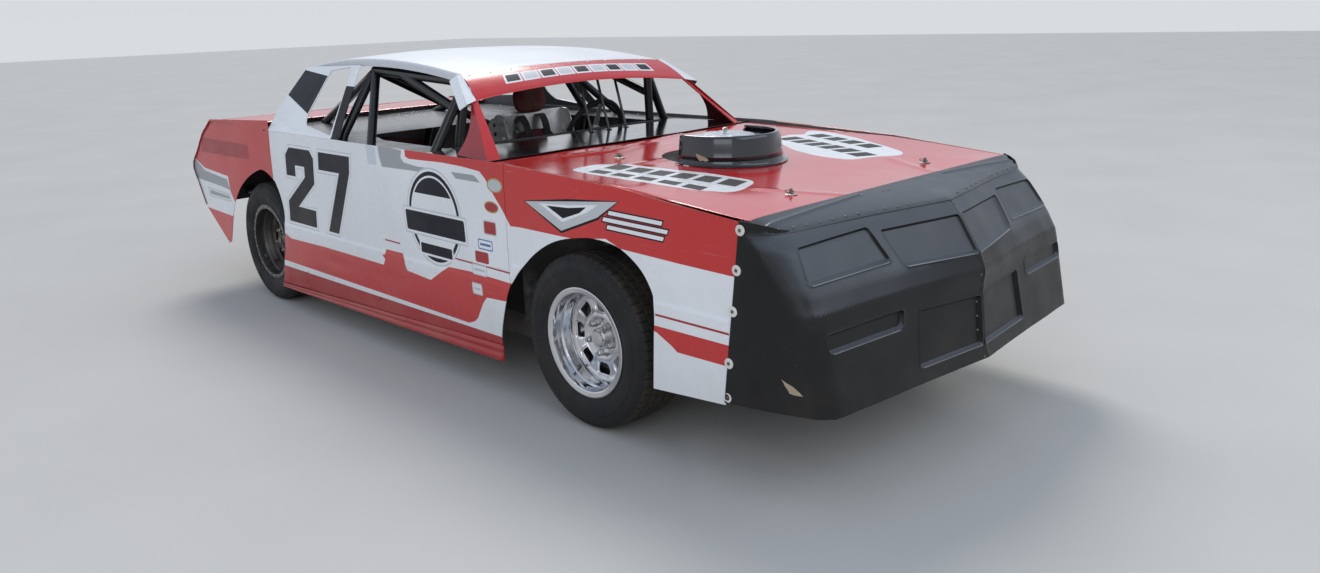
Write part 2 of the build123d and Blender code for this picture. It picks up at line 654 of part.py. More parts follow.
# arm legs: (z at the knuckle, y at the frame, x at the frame, z at the frame)
legs = [
    (lower_arm_z, front_axle_y - 62, 405.0, lower_arm_z), (lower_arm_z, front_axle_y + 62, 405.0, lower_arm_z),
    (upper_arm_z, front_axle_y - 50, 412.0, upper_arm_z), (upper_arm_z, front_axle_y + 50, 412.0, upper_arm_z),
]
with BuildPart() as front_arms:
    for z, yi, xi, zi in legs:
        rod((kingpin_x - 16, front_axle_y, z), (xi, yi, zi), 9.0)
    for z in (lower_arm_z, upper_arm_z):
        with Locations((kingpin_x, front_axle_y, z)):
            Cylinder(26, 20)
            Cylinder(pin_r + run_fit, 30, mode=Mode.SUBTRACT)
    mirror(about=Plane.YZ)
    cut_frame()
front_arms.part.label = "front_arms"
export_step(front_arms.part, "parts/front_arms.step")

with BuildPart() as coil_springs:
    # front: from the lower arm to the frame perch
    rod((505, front_axle_y, 218), (505, front_axle_y, 423.7), 20.0)
    for z in (225, 300, 375, 418):
        with Locations((505, front_axle_y, z)):
            Cylinder(44, 8)
    # rear: from the axle to the shock crossbar
    rod((500, 1463, 379), (500, 1463, 629.7), 20.0)
    for z in (400, 480, 560, 624):
        with Locations((500, 1463, z)):
            Cylinder(44, 8)
    mirror(about=Plane.YZ)
    add(front_arms.part, mode=Mode.SUBTRACT)
coil_springs.part.label = "coil_springs"
export_step(coil_springs.part, "parts/coil_springs.step")

for side, s in (("left", 1), ("right", -1)):
    with BuildPart() as knuckle:
        with Locations((s * kingpin_x, front_axle_y, (222 + 434) / 2)):
            Box(44, 50, 212)
        rod((s * kingpin_x, front_axle_y, 192), (s * kingpin_x, front_axle_y, 464), pin_r)
        rod((s * kingpin_x, front_axle_y, hub_z), (s * 772, front_axle_y, hub_z), spindle_r)
        with Locations((s * kingpin_x, front_axle_y + arm_len / 2 + 8, 260)):
            Box(30, arm_len + 16, 16)
    knuckle.part.label = "knuckle_" + side
    export_step(knuckle.part, "parts/knuckle_" + side + ".step")

tie_y, tie_z = front_axle_y + arm_len, 232.0
with BuildPart() as tie_rod:
    rod((-kingpin_x, tie_y, tie_z), (kingpin_x, tie_y, tie_z), 10.0)
    for x in (-kingpin_x, kingpin_x):
        with Locations((x, tie_y, tie_z)):
            Cylinder(16, 24)
tie_rod.part.label = "tie_rod"
export_step(tie_rod.part, "parts/tie_rod.step")

# ---------------------------------------------------------------------------
# rear suspension
# ---------------------------------------------------------------------------
with BuildPart() as rear_axle:
    rod((-640, rear_axle_y, hub_z), (640, rear_axle_y, hub_z), 40.0)
    with Locations((0, rear_axle_y, hub_z)):
        with Locations(Rotation(0, 90, 0)):
            Cylinder(150, 200)
    rod((0, rear_axle_y - 148, 342), (0, rear_axle_y - 90, 340), 70.0)
    for s in (-1, 1):
        rod((s * 600, rear_axle_y, hub_z), (s * 772, rear_axle_y, hub_z), spindle_r)
rear_axle.part.label = "rear_axle"
export_step(rear_axle.part, "parts/rear_axle.step")

with BuildPart() as rear_links:
    for x in (480.0,):
        rod((x, rear_axle_y - 41, 320), (x, 1010, 230), 16.0)
        rod((x - 110, rear_axle_y - 41, 350), (x - 110, 1010, 470), 14.0)
    mirror(about=Plane.YZ)
    cut_frame()
    add(rear_axle.part, mode=Mode.SUBTRACT)
rear_links.part.label = "rear_links"
export_step(rear_links.part, "parts/rear_links.step")

# ---------------------------------------------------------------------------
# wheels: tyre, rim and hub with brake disc, written about each wheel centre
# ---------------------------------------------------------------------------
# tyre section (x from the centre plane, radius)
tyre_outer = [(98, 193.5), (104.5, 215), (118, 240), (123, 268), (118, 304), (109, 323), (92, tyre_r)]
tyre_inner = [(84, 193.5), (91, 217), (105, 244), (109, 268), (104, 301), (97, 313), (86, 322)]
rim_profile = [(-112, rim_edge_r), (-107, rim_edge_r), (-104, bead_r), (-70, bead_r), (-55, 176), (20, 176), (45, bead_r),
               (104, bead_r), (107, rim_edge_r), (112, rim_edge_r), (110, bead_r - 6), (43, bead_r - 6), (18, 170),
               (-57, 170), (-72, bead_r - 6), (-110, bead_r - 6)]

# (name, side, axle y, tyre centre x, disc offset outwards, number of windows)
wheels = [
    ("front_left", 1, front_axle_y, front_tyre_x, 14.0, 8),
    ("front_right", -1, front_axle_y, front_tyre_x, 14.0, 8),
    ("rear_left", 1, rear_axle_y, rear_tyre_x, 14.0, 8),
    ("rear_right", -1, rear_axle_y, rear_tyre_x, 14.0, 8),
]
for name, s, ya, xc, disc, n_win in wheels:
    wheel_plane = Plane(origin=(s * xc, ya, hub_z), x_dir=(s, 0, 0), z_dir=(0, -s, 0))
    axis = Axis((s * xc, ya, hub_z), (1, 0, 0))
    with BuildPart() as tyre:
        with BuildSketch(wheel_plane):
            with BuildLine():
                Polyline(*(tyre_outer + [(-x, r) for x, r in reversed(tyre_outer)] +
                           [(-x, r) for x, r in tyre_inner] + list(reversed(tyre_inner))), close=True)
            make_face()
        revolve(axis=axis)
    tyre.part.label = "tyre_" + name
    export_step(tyre.part, "parts/tyre_" + name + ".step")

    with BuildPart() as rim:
        with BuildSketch(wheel_plane):
            with BuildLine():
                Polyline(*rim_profile, close=True)
            make_face()
        revolve(axis=axis)
        face_plane = Plane(origin=(s * (xc + disc), ya, hub_z), x_dir=(0, 1, 0), z_dir=(s, 0, 0))
        with BuildSketch(face_plane):
            Circle(172)
            Circle(40, mode=Mode.SUBTRACT)
            with PolarLocations(128, n_win):
                RectangleRounded(46, 52, 10, mode=Mode.SUBTRACT)
        extrude(amount=8)
    rim.part.label = "rim_" + name
    export_step(rim.part, "parts/rim_" + name + ".step")

    with BuildPart() as hub:
        x0, x1 = s * (xc + disc - 0.5), s * 680
        rod((s * 684, ya, hub_z), (s * (xc + disc - 0.5), ya, hub_z), 55.0)
        rod((s * (xc + disc - 12), ya, hub_z), (s * (xc + disc - 0.5), ya, hub_z), 75.0)
        rod((s * 688, ya, hub_z), (s * 708, ya, hub_z), 145.0)
        rod((s * (xc + disc - 1), ya, hub_z), (s * (xc + disc + 36), ya, hub_z), 38.0)
        rod((s * 660, ya, hub_z), (s * 773, ya, hub_z), spindle_r + run_fit, mode=Mode.SUBTRACT)
    hub.part.label = "hub_" + name
    export_step(hub.part, "parts/hub_" + name + ".step")
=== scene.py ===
import json
import math
import bpy
import bmesh
import numpy as np
from mathutils import Vector, Matrix
from mathutils.geometry import delaunay_2d_cdt

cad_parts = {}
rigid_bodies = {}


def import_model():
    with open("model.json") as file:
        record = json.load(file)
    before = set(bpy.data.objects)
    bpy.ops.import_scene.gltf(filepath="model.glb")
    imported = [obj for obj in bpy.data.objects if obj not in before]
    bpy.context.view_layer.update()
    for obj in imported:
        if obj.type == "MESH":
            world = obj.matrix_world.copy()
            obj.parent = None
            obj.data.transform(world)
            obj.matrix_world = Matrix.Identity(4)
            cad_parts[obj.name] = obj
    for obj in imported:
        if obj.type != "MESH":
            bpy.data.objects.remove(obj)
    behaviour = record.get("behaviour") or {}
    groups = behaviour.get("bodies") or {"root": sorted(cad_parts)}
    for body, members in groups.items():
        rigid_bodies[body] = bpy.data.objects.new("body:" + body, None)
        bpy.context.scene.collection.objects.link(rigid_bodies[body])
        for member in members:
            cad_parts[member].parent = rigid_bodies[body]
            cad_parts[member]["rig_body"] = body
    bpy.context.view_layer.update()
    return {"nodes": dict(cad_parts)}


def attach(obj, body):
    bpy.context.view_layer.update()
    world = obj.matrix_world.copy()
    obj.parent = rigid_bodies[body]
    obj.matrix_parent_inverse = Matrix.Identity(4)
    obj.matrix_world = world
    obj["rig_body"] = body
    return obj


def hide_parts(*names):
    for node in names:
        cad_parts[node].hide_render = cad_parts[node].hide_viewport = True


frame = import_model()
NODES = frame["nodes"]
mm = 0.001

# ---------------------------------------------------------------------------
# node materials
# ---------------------------------------------------------------------------
MATS = {}


class Shader:
    """small wrapper that builds a procedural material on object coordinates"""

    def __init__(self, name):
        self.mat = bpy.data.materials.new(name)
        self.mat.use_nodes = True
        self.tree = self.mat.node_tree
        self.bsdf = [n for n in self.tree.nodes if n.type == "BSDF_PRINCIPLED"][0]
        self.obj = self.node("ShaderNodeTexCoord").outputs["Object"]
        MATS[name] = self.mat

    def node(self, kind, **props):
        n = self.tree.nodes.new(kind)
        for k, v in props.items():
            setattr(n, k, v)
        return n

    def put(self, socket, value):
        if isinstance(value, bpy.types.NodeSocket):
            self.tree.links.new(value, socket)
        elif isinstance(value, (tuple, list)) and len(value) == 3 and socket.type == "RGBA":
            socket.default_value = (*value, 1.0)
        else:
            socket.default_value = value

    def scaled(self, sx, sy, sz, rot=(0, 0, 0)):
        m = self.node("ShaderNodeMapping")
        m.inputs["Scale"].default_value = (sx, sy, sz)
        m.inputs["Rotation"].default_value = rot
        self.put(m.inputs["Vector"], self.obj)
        return m.outputs["Vector"]

    def noise(self, scale, detail=3.0, rough=0.55, vec=None, dist=0.0):
        n = self.node("ShaderNodeTexNoise")
        n.inputs["Scale"].default_value = scale
        n.inputs["Detail"].default_value = detail
        n.inputs["Roughness"].default_value = rough
        n.inputs["Distortion"].default_value = dist
        self.put(n.inputs["Vector"], vec or self.obj)
        return n.outputs["Fac"]

    def voronoi(self, scale, vec=None, feature="F1"):
        n = self.node("ShaderNodeTexVoronoi", feature=feature)
        n.inputs["Scale"].default_value = scale
        self.put(n.inputs["Vector"], vec or self.obj)
        return n.outputs["Distance"]

    def axis(self, which):
        s = self.node("ShaderNodeSeparateXYZ")
        self.put(s.inputs[0], self.obj)
        return s.outputs[which]

    def rng(self, v, a, b, c=0.0, d=1.0, smooth=False):
        m = self.node("ShaderNodeMapRange", interpolation_type="SMOOTHSTEP" if smooth else "LINEAR")
        for i, x in enumerate((v, a, b, c, d)):
            self.put(m.inputs[i], x)
        return m.outputs[0]

    def math(self, op, a, b=0.0):
        m = self.node("ShaderNodeMath", operation=op)
        self.put(m.inputs[0], a)
        self.put(m.inputs[1], b)
        return m.outputs[0]

    def mix(self, fac, a, b):
        m = self.node("ShaderNodeMix", data_type="RGBA")
        self.put(m.inputs[0], fac)
        self.put(m.inputs[6], a)
        self.put(m.inputs[7], b)
        return m.outputs[2]

    def normal_z(self):
        g = self.node("ShaderNodeNewGeometry")
        s = self.node("ShaderNodeSeparateXYZ")
        self.put(s.inputs[0], g.outputs["Normal"])
        return s.outputs[2]

    def bump(self, height, strength, distance, after=None):
        b = self.node("ShaderNodeBump")
        b.inputs["Strength"].default_value = strength
        b.inputs["Distance"].default_value = distance
        self.put(b.inputs["Height"], height)
        if after is not None:
            self.put(b.inputs["Normal"], after)
        return b.outputs["Normal"]

    def done(self, color=None, rough=None, normal=None, metallic=None, coat=None, coat_rough=0.06, spec=None):
        b = self.bsdf
        if color is not None:
            self.put(b.inputs["Base Color"], color)
        if rough is not None:
            self.put(b.inputs["Roughness"], rough)
        if normal is not None:
            self.put(b.inputs["Normal"], normal)
        if metallic is not None:
            self.put(b.inputs["Metallic"], metallic)
        if coat is not None:
            self.put(b.inputs["Coat Weight"], coat)
            self.put(b.inputs["Coat Roughness"], coat_rough)
        if spec is not None:
            self.put(b.inputs["Specular IOR Level"], spec)
        return self.mat


DUST = (0.40, 0.31, 0.215)


def tint(c, k):
    return tuple(min(1.0, x * k) for x in c)


def paint(name, col, rough=0.26, coat=0.35, dust=0.5, wave=1.0, col2=None, grad=None, metallic=0.0, scratch=0.35,
          spec=0.5):
    """sheet-metal paint: tone variation, road dust by height, specks, fine scratches, uneven gloss and panel waviness"""
    s = Shader(name)
    big = s.rng(s.noise(1.3, 3.0), 0.32, 0.68)
    base = s.mix(big, tint(col, 0.93), tint(col, 1.05))
    if col2 is not None:
        lo, hi = grad
        g = s.rng(s.axis(2), lo, hi, 0.0, 1.0)
        cloud = s.math("ADD", g, s.rng(s.noise(5.0, 5.0), 0.3, 0.7, -0.16, 0.16))
        base = s.mix(cloud, col, col2)
    mott = s.rng(s.noise(22.0, 5.0, 0.65), 0.40, 0.70)
    base = s.mix(s.math("MULTIPLY", mott, 0.10), base, tint(col, 0.80))
    # fine scratches in two directions
    sc1 = s.rng(s.noise(1.0, 3.0, 0.6, vec=s.scaled(9, 4, 160, (0.10, 0, 0))), 0.665, 0.72)
    sc2 = s.rng(s.noise(1.0, 2.0, 0.6, vec=s.scaled(60, 5, 190, (-0.5, 0.2, 0))), 0.69, 0.73)
    sc = s.math("MULTIPLY", s.math("MAXIMUM", sc1, sc2), s.rng(s.noise(3.0, 2.0), 0.52, 0.68))
    base = s.mix(s.math("MULTIPLY", sc, 0.5 * scratch), base, (0.62, 0.61, 0.60))
    # dust: low down, in patches, and a light film everywhere
    low = s.rng(s.axis(2), 0.08, 0.62, 1.0, 0.0, True)
    patch = s.rng(s.noise(4.5, 6.0, 0.62), 0.42, 0.72)
    film = s.rng(s.noise(1.9, 4.0, 0.6), 0.38, 0.8, 0.0, 0.09)
    up = s.rng(s.normal_z(), 0.5, 1.0, 0.0, 0.05)
    d = s.math("ADD", s.math("MULTIPLY", low, s.math("MULTIPLY", patch, 0.50)), s.math("ADD", film, up))
    streak = s.rng(s.noise(1.0, 4.0, 0.6, vec=s.scaled(30, 26, 2.6)), 0.56, 0.80, 0.0, 0.12)
    d = s.math("MULTIPLY", s.math("ADD", d, streak), dust)
    base = s.mix(d, base, DUST)
    speck = s.math("MULTIPLY", s.rng(s.noise(260.0, 2.0), 0.70, 0.76), s.rng(s.noise(6.0, 3.0), 0.48, 0.70))
    base = s.mix(s.math("MULTIPLY", speck, 0.55 * dust), base, tint(DUST, 0.8))
    r = s.math("ADD", s.rng(s.noise(9.0, 5.0, 0.6), 0.3, 0.75, rough - 0.05, rough + 0.09), s.math("MULTIPLY", d, 0.55))
    r = s.math("ADD", r, s.math("MULTIPLY", sc, 0.2))
    n = s.bump(s.noise(2.6, 2.0, 0.45), 0.5 * wave, 0.010)
    n = s.bump(s.noise(420.0, 2.0), 0.035, 0.002, n)
    n = s.bump(s.math("ADD", s.math("MULTIPLY", sc, -1.0), speck), 0.10, 0.001, n)
    return s.done(base, r, n, metallic, coat, 0.10, spec)


def plastic(name, col, rough, dust=0.4, coat=0.0, grain=0.06, wave=0.35, spec=0.5, sky_sheen_col=None):
    """moulded plastic: fine grain, flow marks, scuffs and dust, with an optional painted highlight on up-facing faces
    """
    s = Shader(name)
    base = s.mix(s.rng(s.noise(2.2, 4.0), 0.3, 0.7), tint(col, 0.85), tint(col, 1.2))
    if sky_sheen_col is not None:        # painted highlight: faces that point up are made lighter, standing in for the bright sky reflected in them
        base = s.mix(s.rng(s.normal_z(), 0.34, 0.56, 0.0, 1.0), base, sky_sheen_col)
    haze = s.rng(s.noise(5.0, 4.0, 0.5), 0.45, 0.80, 0.0, 0.05)
    base = s.mix(haze, base, (0.10, 0.10, 0.105))
    sc1 = s.rng(s.noise(1.0, 4.0, 0.65, vec=s.scaled(70, 5, 16, (0.3, 0.1, 0.2))), 0.67, 0.73)
    sc = s.math("MULTIPLY", sc1, s.rng(s.noise(2.4, 3.0), 0.50, 0.66))
    base = s.mix(s.math("MULTIPLY", sc, 0.20), base, (0.16, 0.155, 0.15))
    low = s.rng(s.axis(2), 0.25, 0.60, 0.45, 0.0, True)
    patch = s.rng(s.noise(5.5, 6.0, 0.62), 0.40, 0.75)
    up = s.rng(s.normal_z(), 0.2, 0.9, 0.0, 0.10)
    d = s.math("MULTIPLY", s.math("ADD", s.math("MULTIPLY", patch, s.math("ADD", low, 0.12)), up), dust)
    base = s.mix(d, base, tint(DUST, 0.75))
    speck = s.math("MULTIPLY", s.rng(s.noise(230.0, 2.0), 0.70, 0.76), s.rng(s.noise(5.0, 3.0), 0.46, 0.70))
    base = s.mix(s.math("MULTIPLY", speck, 0.5), base, tint(DUST, 0.8))
    r = s.math("ADD", s.rng(s.noise(12.0, 5.0), 0.3, 0.75, rough - 0.05, rough + 0.08), s.math("MULTIPLY", d, 0.7))
    r = s.math("ADD", r, s.math("MULTIPLY", sc, 0.15))
    n = s.bump(s.noise(3.4, 3.0, 0.5), wave, 0.006)
    n = s.bump(s.noise(900.0, 2.0), grain, 0.002, n)
    n = s.bump(s.math("ADD", speck, s.math("MULTIPLY", sc, -1.0)), 0.15, 0.001, n)
    return s.done(base, r, n, 0.0, coat, 0.08, spec)


def metal(name, col, rough, dust=0.35, brushed=0.0, rust=0.0, bump=0.08, metallic=1.0, scale=1.0, fine=0.05, tarnish=0.35):
    """bare or plated metal: swirls, tarnish, dust in patches"""
    s = Shader(name)
    base = s.mix(s.rng(s.noise(6.0 * scale, 5.0, 0.6), 0.3, 0.7), tint(col, 0.80), tint(col, 1.06))
    tar = s.rng(s.noise(26.0 * scale, 6.0, 0.65), 0.50, 0.75, 0.0, tarnish)
    base = s.mix(tar, base, tint(col, 0.55))
    if rust:
        ru = s.rng(s.noise(9.0 * scale, 7.0, 0.7), 0.52, 0.66, 0.0, rust)
        base = s.mix(ru, base, (0.16, 0.065, 0.03))
    d = s.math("MULTIPLY", s.rng(s.noise(7.0 * scale, 6.0, 0.65), 0.42, 0.74), dust)
    base = s.mix(d, base, DUST)
    lines = s.noise(1.0, 3.0, 0.6, vec=s.scaled(14, 14, 420))
    r = s.math("ADD", s.rng(s.noise(30.0 * scale, 4.0), 0.3, 0.7, max(0.03, rough - 0.05), rough + 0.09), s.math("MULTIPLY", d, 0.8))
    if brushed:
        r = s.math("ADD", r, s.rng(lines, 0.4, 0.7, 0.0, 0.15 * brushed))
    n = s.bump(s.noise(45.0 * scale, 4.0), bump, 0.002)
    n = s.bump(s.noise(500.0, 2.0), fine, 0.001, n)
    m = s.math("MULTIPLY", s.math("SUBTRACT", 1.0, d), metallic)
    return s.done(base, r, n, m)


def rubber(name, col, tread=False):
    """tyre rubber: dull film, brown dust and scuffing, sparser on the sidewall"""
    s = Shader(name)
    base = s.mix(s.rng(s.noise(3.0, 4.0), 0.3, 0.7), tint(col, 0.8), tint(col, 1.3))
    film = s.rng(s.noise(5.5, 6.0, 0.62), 0.36, 0.74, 0.01, 0.26 if tread else 0.07)
    base = s.mix(film, base, tint(DUST, 0.50))
    scuff = s.rng(s.noise(1.0, 5.0, 0.7, vec=s.scaled(26, 60, 60)), 0.60, 0.75, 0.0, 0.22)
    base = s.mix(scuff, base, (0.075, 0.072, 0.07))
    speck = s.math("MULTIPLY", s.rng(s.noise(190.0, 2.0), 0.68, 0.75), s.rng(s.noise(4.0, 3.0), 0.42, 0.66))
    base = s.mix(s.math("MULTIPLY", speck, 0.5), base, tint(DUST, 0.8))
    r = s.rng(s.noise(14.0, 5.0), 0.3, 0.7, 0.52, 0.74)
    n = s.bump(s.noise(35.0, 5.0, 0.65), 0.16, 0.003)
    n = s.bump(s.noise(700.0, 2.0), 0.12, 0.0015, n)
    return s.done(base, r, n, spec=0.28)


def fabric(name, col, weave=1500.0):
    s = Shader(name)
    base = s.mix(s.rng(s.noise(11.0, 5.0), 0.3, 0.7), tint(col, 0.75), tint(col, 1.2))
    th = s.rng(s.noise(1.0, 1.0, vec=s.scaled(weave, weave * 0.35, weave)), 0.3, 0.7)
    base = s.mix(s.math("MULTIPLY", th, 0.3), base, tint(col, 0.5))
    d = s.rng(s.noise(6.0, 5.0, 0.6), 0.45, 0.8, 0.0, 0.22)
    base = s.mix(d, base, DUST)
    r = s.rng(s.noise(20.0, 3.0), 0.3, 0.7, 0.72, 0.92)
    n = s.bump(th, 0.20, 0.0012)
    n = s.bump(s.noise(14.0, 4.0), 0.25, 0.006, n)
    return s.done(base, r, n)


WHITE, RED = (0.80, 0.815, 0.83), (0.56, 0.012, 0.013)
paint("white_paint", WHITE, 0.24, 0.30, 0.45)
paint("roof_paint", (0.64, 0.66, 0.69), 0.40, 0.10, 0.35, wave=0.9, scratch=1.0)
paint("red_paint", RED, 0.22, 0.35, 0.20)
paint("hood_paint", (0.64, 0.012, 0.014), 0.14, 0.75, 0.16, wave=0.9)
paint("pillar_paint", (0.34, 0.008, 0.013), 0.26, 0.35, 0.25)
# painted shade: near-black red for the inside of the gusset, standing in for its shaded side
paint("pillar_painted_shade", (0.055, 0.004, 0.005), 0.50, 0.0, 0.25, spec=0.25)
paint("skirt_paint", (0.40, 0.010, 0.013), 0.30, 0.25, 0.35)
paint("grey_vinyl", (0.33, 0.345, 0.36), 0.33, 0.15, 0.40)
paint("pale_vinyl", (0.60, 0.655, 0.72), 0.30, 0.15, 0.40)
paint("silver_vinyl", (0.52, 0.535, 0.55), 0.30, 0.15, 0.30)
paint("navy_vinyl", (0.009, 0.011, 0.018), 0.46, 0.0, 0.07, scratch=0.15, spec=0.22)
paint("number_vinyl", (0.036, 0.031, 0.029), 0.42, 0.0, 0.10, col2=(0.009, 0.011, 0.018), grad=(0.42, 0.72), scratch=0.15, spec=0.25)
paint("black_vinyl", (0.005, 0.005, 0.007), 0.42, 0.0, 0.05, scratch=0.15, spec=0.22)
paint("gold_vinyl", (0.42, 0.23, 0.045), 0.35, 0.10, 0.35)
paint("blue_vinyl", (0.05, 0.16, 0.38), 0.35, 0.10, 0.35)
paint("crimson_vinyl", (0.36, 0.010, 0.018), 0.32, 0.15, 0.30)
paint("sheet_back", (0.13, 0.13, 0.135), 0.50, 0.0, 0.8, spec=0.3)
paint("cage_paint", (0.0045, 0.0045, 0.0055), 0.30, 0.10, 0.06, wave=0.3, scratch=0.1)
paint("dash_paint", (0.006, 0.006, 0.008), 0.09, 0.80, 0.05, wave=0.6, scratch=0.2)
paint("deck_paint", (0.060, 0.064, 0.070), 0.26, 0.25, 0.28, wave=1.1)
paint("frame_paint", (0.025, 0.025, 0.027), 0.45, 0.10, 1.2, wave=0.4)
paint("tank_paint", (0.40, 0.025, 0.02), 0.34, 0.25, 0.9)
paint("floor_paint", (0.045, 0.045, 0.045), 0.45, 0.05, 1.1)
paint("engine_paint", (0.035, 0.036, 0.039), 0.45, 0.10, 0.8)
# nose plastic: up-facing faces get a lighter painted highlight colour standing in for sky reflection
plastic("nose_plastic", (0.0070, 0.0072, 0.0080), 0.33, 0.10, 0.0, grain=0.04, wave=0.15, spec=0.27, sky_sheen_col=(0.072, 0.079, 0.090))
# pale plastic for the painted highlight strips under the nose recesses
plastic("nose_lip_highlight", (0.21, 0.22, 0.235), 0.30, 0.05, 0.0, grain=0.04, wave=0.15, spec=0.45)
plastic("scoop_plastic", (0.006, 0.008, 0.013), 0.12, 0.08, 0.75, grain=0.012, wave=0.5)
plastic("washer_plastic", (0.66, 0.64, 0.58), 0.42, 0.18, grain=0.03)
plastic("torn_plastic", (0.42, 0.33, 0.22), 0.62, 0.6, grain=0.3)
metal("rim_polish", (0.74, 0.74, 0.755), 0.07, 0.04, brushed=0.10, bump=0.008, fine=0.008, tarnish=0.15)
paint("rim_black_paint", (0.014, 0.014, 0.016), 0.28, 0.35, 0.75, wave=0.2)
metal("steel_zinc", (0.50, 0.50, 0.50), 0.30, 0.30, bump=0.1)
metal("bolt_dark", (0.16, 0.15, 0.14), 0.38, 0.40, rust=0.35)
metal("sheet_alloy", (0.66, 0.66, 0.66), 0.30, 0.35, brushed=1.0, bump=0.10)
metal("lid_chrome", (0.80, 0.82, 0.86), 0.11, 0.08, brushed=0.1, bump=0.02, fine=0.015)
metal("iron_raw", (0.23, 0.21, 0.20), 0.50, 0.65, rust=0.6, bump=0.25)
metal("exhaust_metal", (0.34, 0.27, 0.22), 0.44, 0.50, rust=0.9, bump=0.25)
metal("disc_steel", (0.45, 0.43, 0.42), 0.33, 0.30, rust=0.5, brushed=1.0)
rubber("tyre_side", (0.012, 0.012, 0.0135))
rubber("tyre_tread", (0.014, 0.0137, 0.0135), True)
fabric("pad_fabric", (0.15, 0.018, 0.022))
fabric("belt_webbing", (0.020, 0.020, 0.022), 900.0)
fabric("filter_paper", (0.30, 0.24, 0.17), 700.0)

# ---------------------------------------------------------------------------
# mesh helpers, metres
# ---------------------------------------------------------------------------


def finish_obj(me, name, body="chassis", replaces=()):
    ob = bpy.data.objects.new(name, me)
    bpy.context.scene.collection.objects.link(ob)
    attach(ob, body)
    if replaces:
        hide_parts(*replaces)
    return ob


def mesh_obj(name, verts, faces, mats, body="chassis", replaces=(), idx=None, angle=40.0):
    """closed or open mesh from lists, smooth with sharp edges by angle"""
    me = bpy.data.meshes.new(name)
    me.from_pydata([tuple(v) for v in verts], [], faces)
    for m in ([mats] if isinstance(mats, str) else mats):
        me.materials.append(MATS[m])
    if idx is not None:
        me.polygons.foreach_set("material_index", idx)
    me.polygons.foreach_set("use_smooth", [True] * len(me.polygons))
    me.validate()
    bm = bmesh.new()
    bm.from_mesh(me)
    bmesh.ops.recalc_face_normals(bm, faces=bm.faces)
    bm.to_mesh(me)
    bm.free()
    me.set_sharp_from_angle(angle=math.radians(angle))
    return finish_obj(me, name, body, replaces)


class Build:
    """collects several shapes into one mesh with material numbers"""

    def __init__(self):
        self.v, self.f, self.i = [], [], []

    def add(self, verts, faces, mat=0):
        o = len(self.v)
        self.v += [tuple(x) for x in verts]
        self.f += [tuple(o + k for k in f) for f in faces]
        self.i += [mat] * len(faces)

    def out(self, name, mats, body="chassis", slot=None, replaces=(), angle=40.0):
        return mesh_obj(name, self.v, self.f, mats, body, replaces, self.i, angle)


def frame_of(d):
    d = Vector(d).normalized()
    a = Vector((0, 0, 1)) if abs(d.z) < 0.9 else Vector((1, 0, 0))
    x = a.cross(d).normalized()
    return x, d.cross(x).normalized(), d


def rounded(points, r, n=6):
    """polyline with its inner corners turned into arcs"""
    P = [Vector(p) for p in points]
    out = [P[0]]
    for a, b, c in zip(P, P[1:], P[2:]):
        u, w = (a - b), (c - b)
        cut = min(r, u.length * 0.45, w.length * 0.45)
        p, q = b + u.normalized() * cut, b + w.normalized() * cut
        for k in range(n + 1):
            t = k / n
            out.append(p * (1 - t) ** 2 + b * (2 * t * (1 - t)) + q * t * t)
    out.append(P[-1])
    return out


def tube_data(points, r, seg=14, cap=True):
    """round tube along a polyline, r may be a list"""
    P = [Vector(p) for p in points]
    rs = r if isinstance(r, (list, tuple)) else [r] * len(P)
    V, F = [], []
    x, y, d = frame_of(P[1] - P[0])
    for i, p in enumerate(P):
        t = (P[min(i + 1, len(P) - 1)] - P[max(i - 1, 0)]).normalized()
        x = (x - t * x.dot(t)).normalized()
        y = t.cross(x)
        for k in range(seg):
            a = 2 * math.pi * k / seg
            V.append(p + (x * math.cos(a) + y * math.sin(a)) * rs[i])
    for i in range(len(P) - 1):
        for k in range(seg):
            j = (k + 1) % seg
            F.append((i * seg + k, i * seg + j, (i + 1) * seg + j, (i + 1) * seg + k))
    if cap:
        F.append(tuple(range(seg))[::-1])
        F.append(tuple((len(P) - 1) * seg + k for k in range(seg)))
    return V, F


def lathe_data(profile, origin, axis, seg=64, closed=False):
    """profile (along axis, radius) turned about a line"""
    x, y, d = frame_of(axis)
    O = Vector(origin)
    V, F = [], []
    n = len(profile)
    for a_, r_ in profile:
        for k in range(seg):
            t = 2 * math.pi * k / seg
            V.append(O + d * a_ + (x * math.cos(t) + y * math.sin(t)) * r_)
    for i in range(n if closed else n - 1):
        i2 = (i + 1) % n
        for k in range(seg):
            j = (k + 1) % seg
            F.append((i * seg + k, i * seg + j, i2 * seg + j, i2 * seg + k))
    return V, F


def box_data(x0, x1, y0, y1, z0, z1, c=0.0):
    """block with chamfered edges"""
    if c <= 0:
        V = [(x, y, z) for z in (z0, z1) for y in (y0, y1) for x in (x0, x1)]
        return V, [(0, 2, 3, 1), (4, 5, 7, 6), (0, 1, 5, 4), (2, 6, 7, 3), (0, 4, 6, 2), (1, 3, 7, 5)]
    bm = bmesh.new()
    bmesh.ops.create_cube(bm, size=1.0)
    for v in bm.verts:
        v.co = Vector(((x0 + x1) / 2 + v.co.x * (x1 - x0), (y0 + y1) / 2 + v.co.y * (y1 - y0), (z0 + z1) / 2 + v.co.z * (z1 - z0)))
    bmesh.ops.bevel(bm, geom=bm.edges[:], offset=c, segments=2, profile=0.6, affect="EDGES")
    bm.verts.ensure_lookup_table()
    V = [v.co.copy() for v in bm.verts]
    F = [tuple(v.index for v in f.verts) for f in bm.faces]
    bm.free()
    return V, F


def signed_area(p):
    return 0.5 * sum(p[i][0] * p[(i + 1) % len(p)][1] - p[(i + 1) % len(p)][0] * p[i][1] for i in range(len(p)))


def ccw(p):
    p = [tuple(q) for q in p]
    return p if signed_area(p) > 0 else p[::-1]


def mmp(p):
    return [(a * mm, b * mm) for a, b in p]


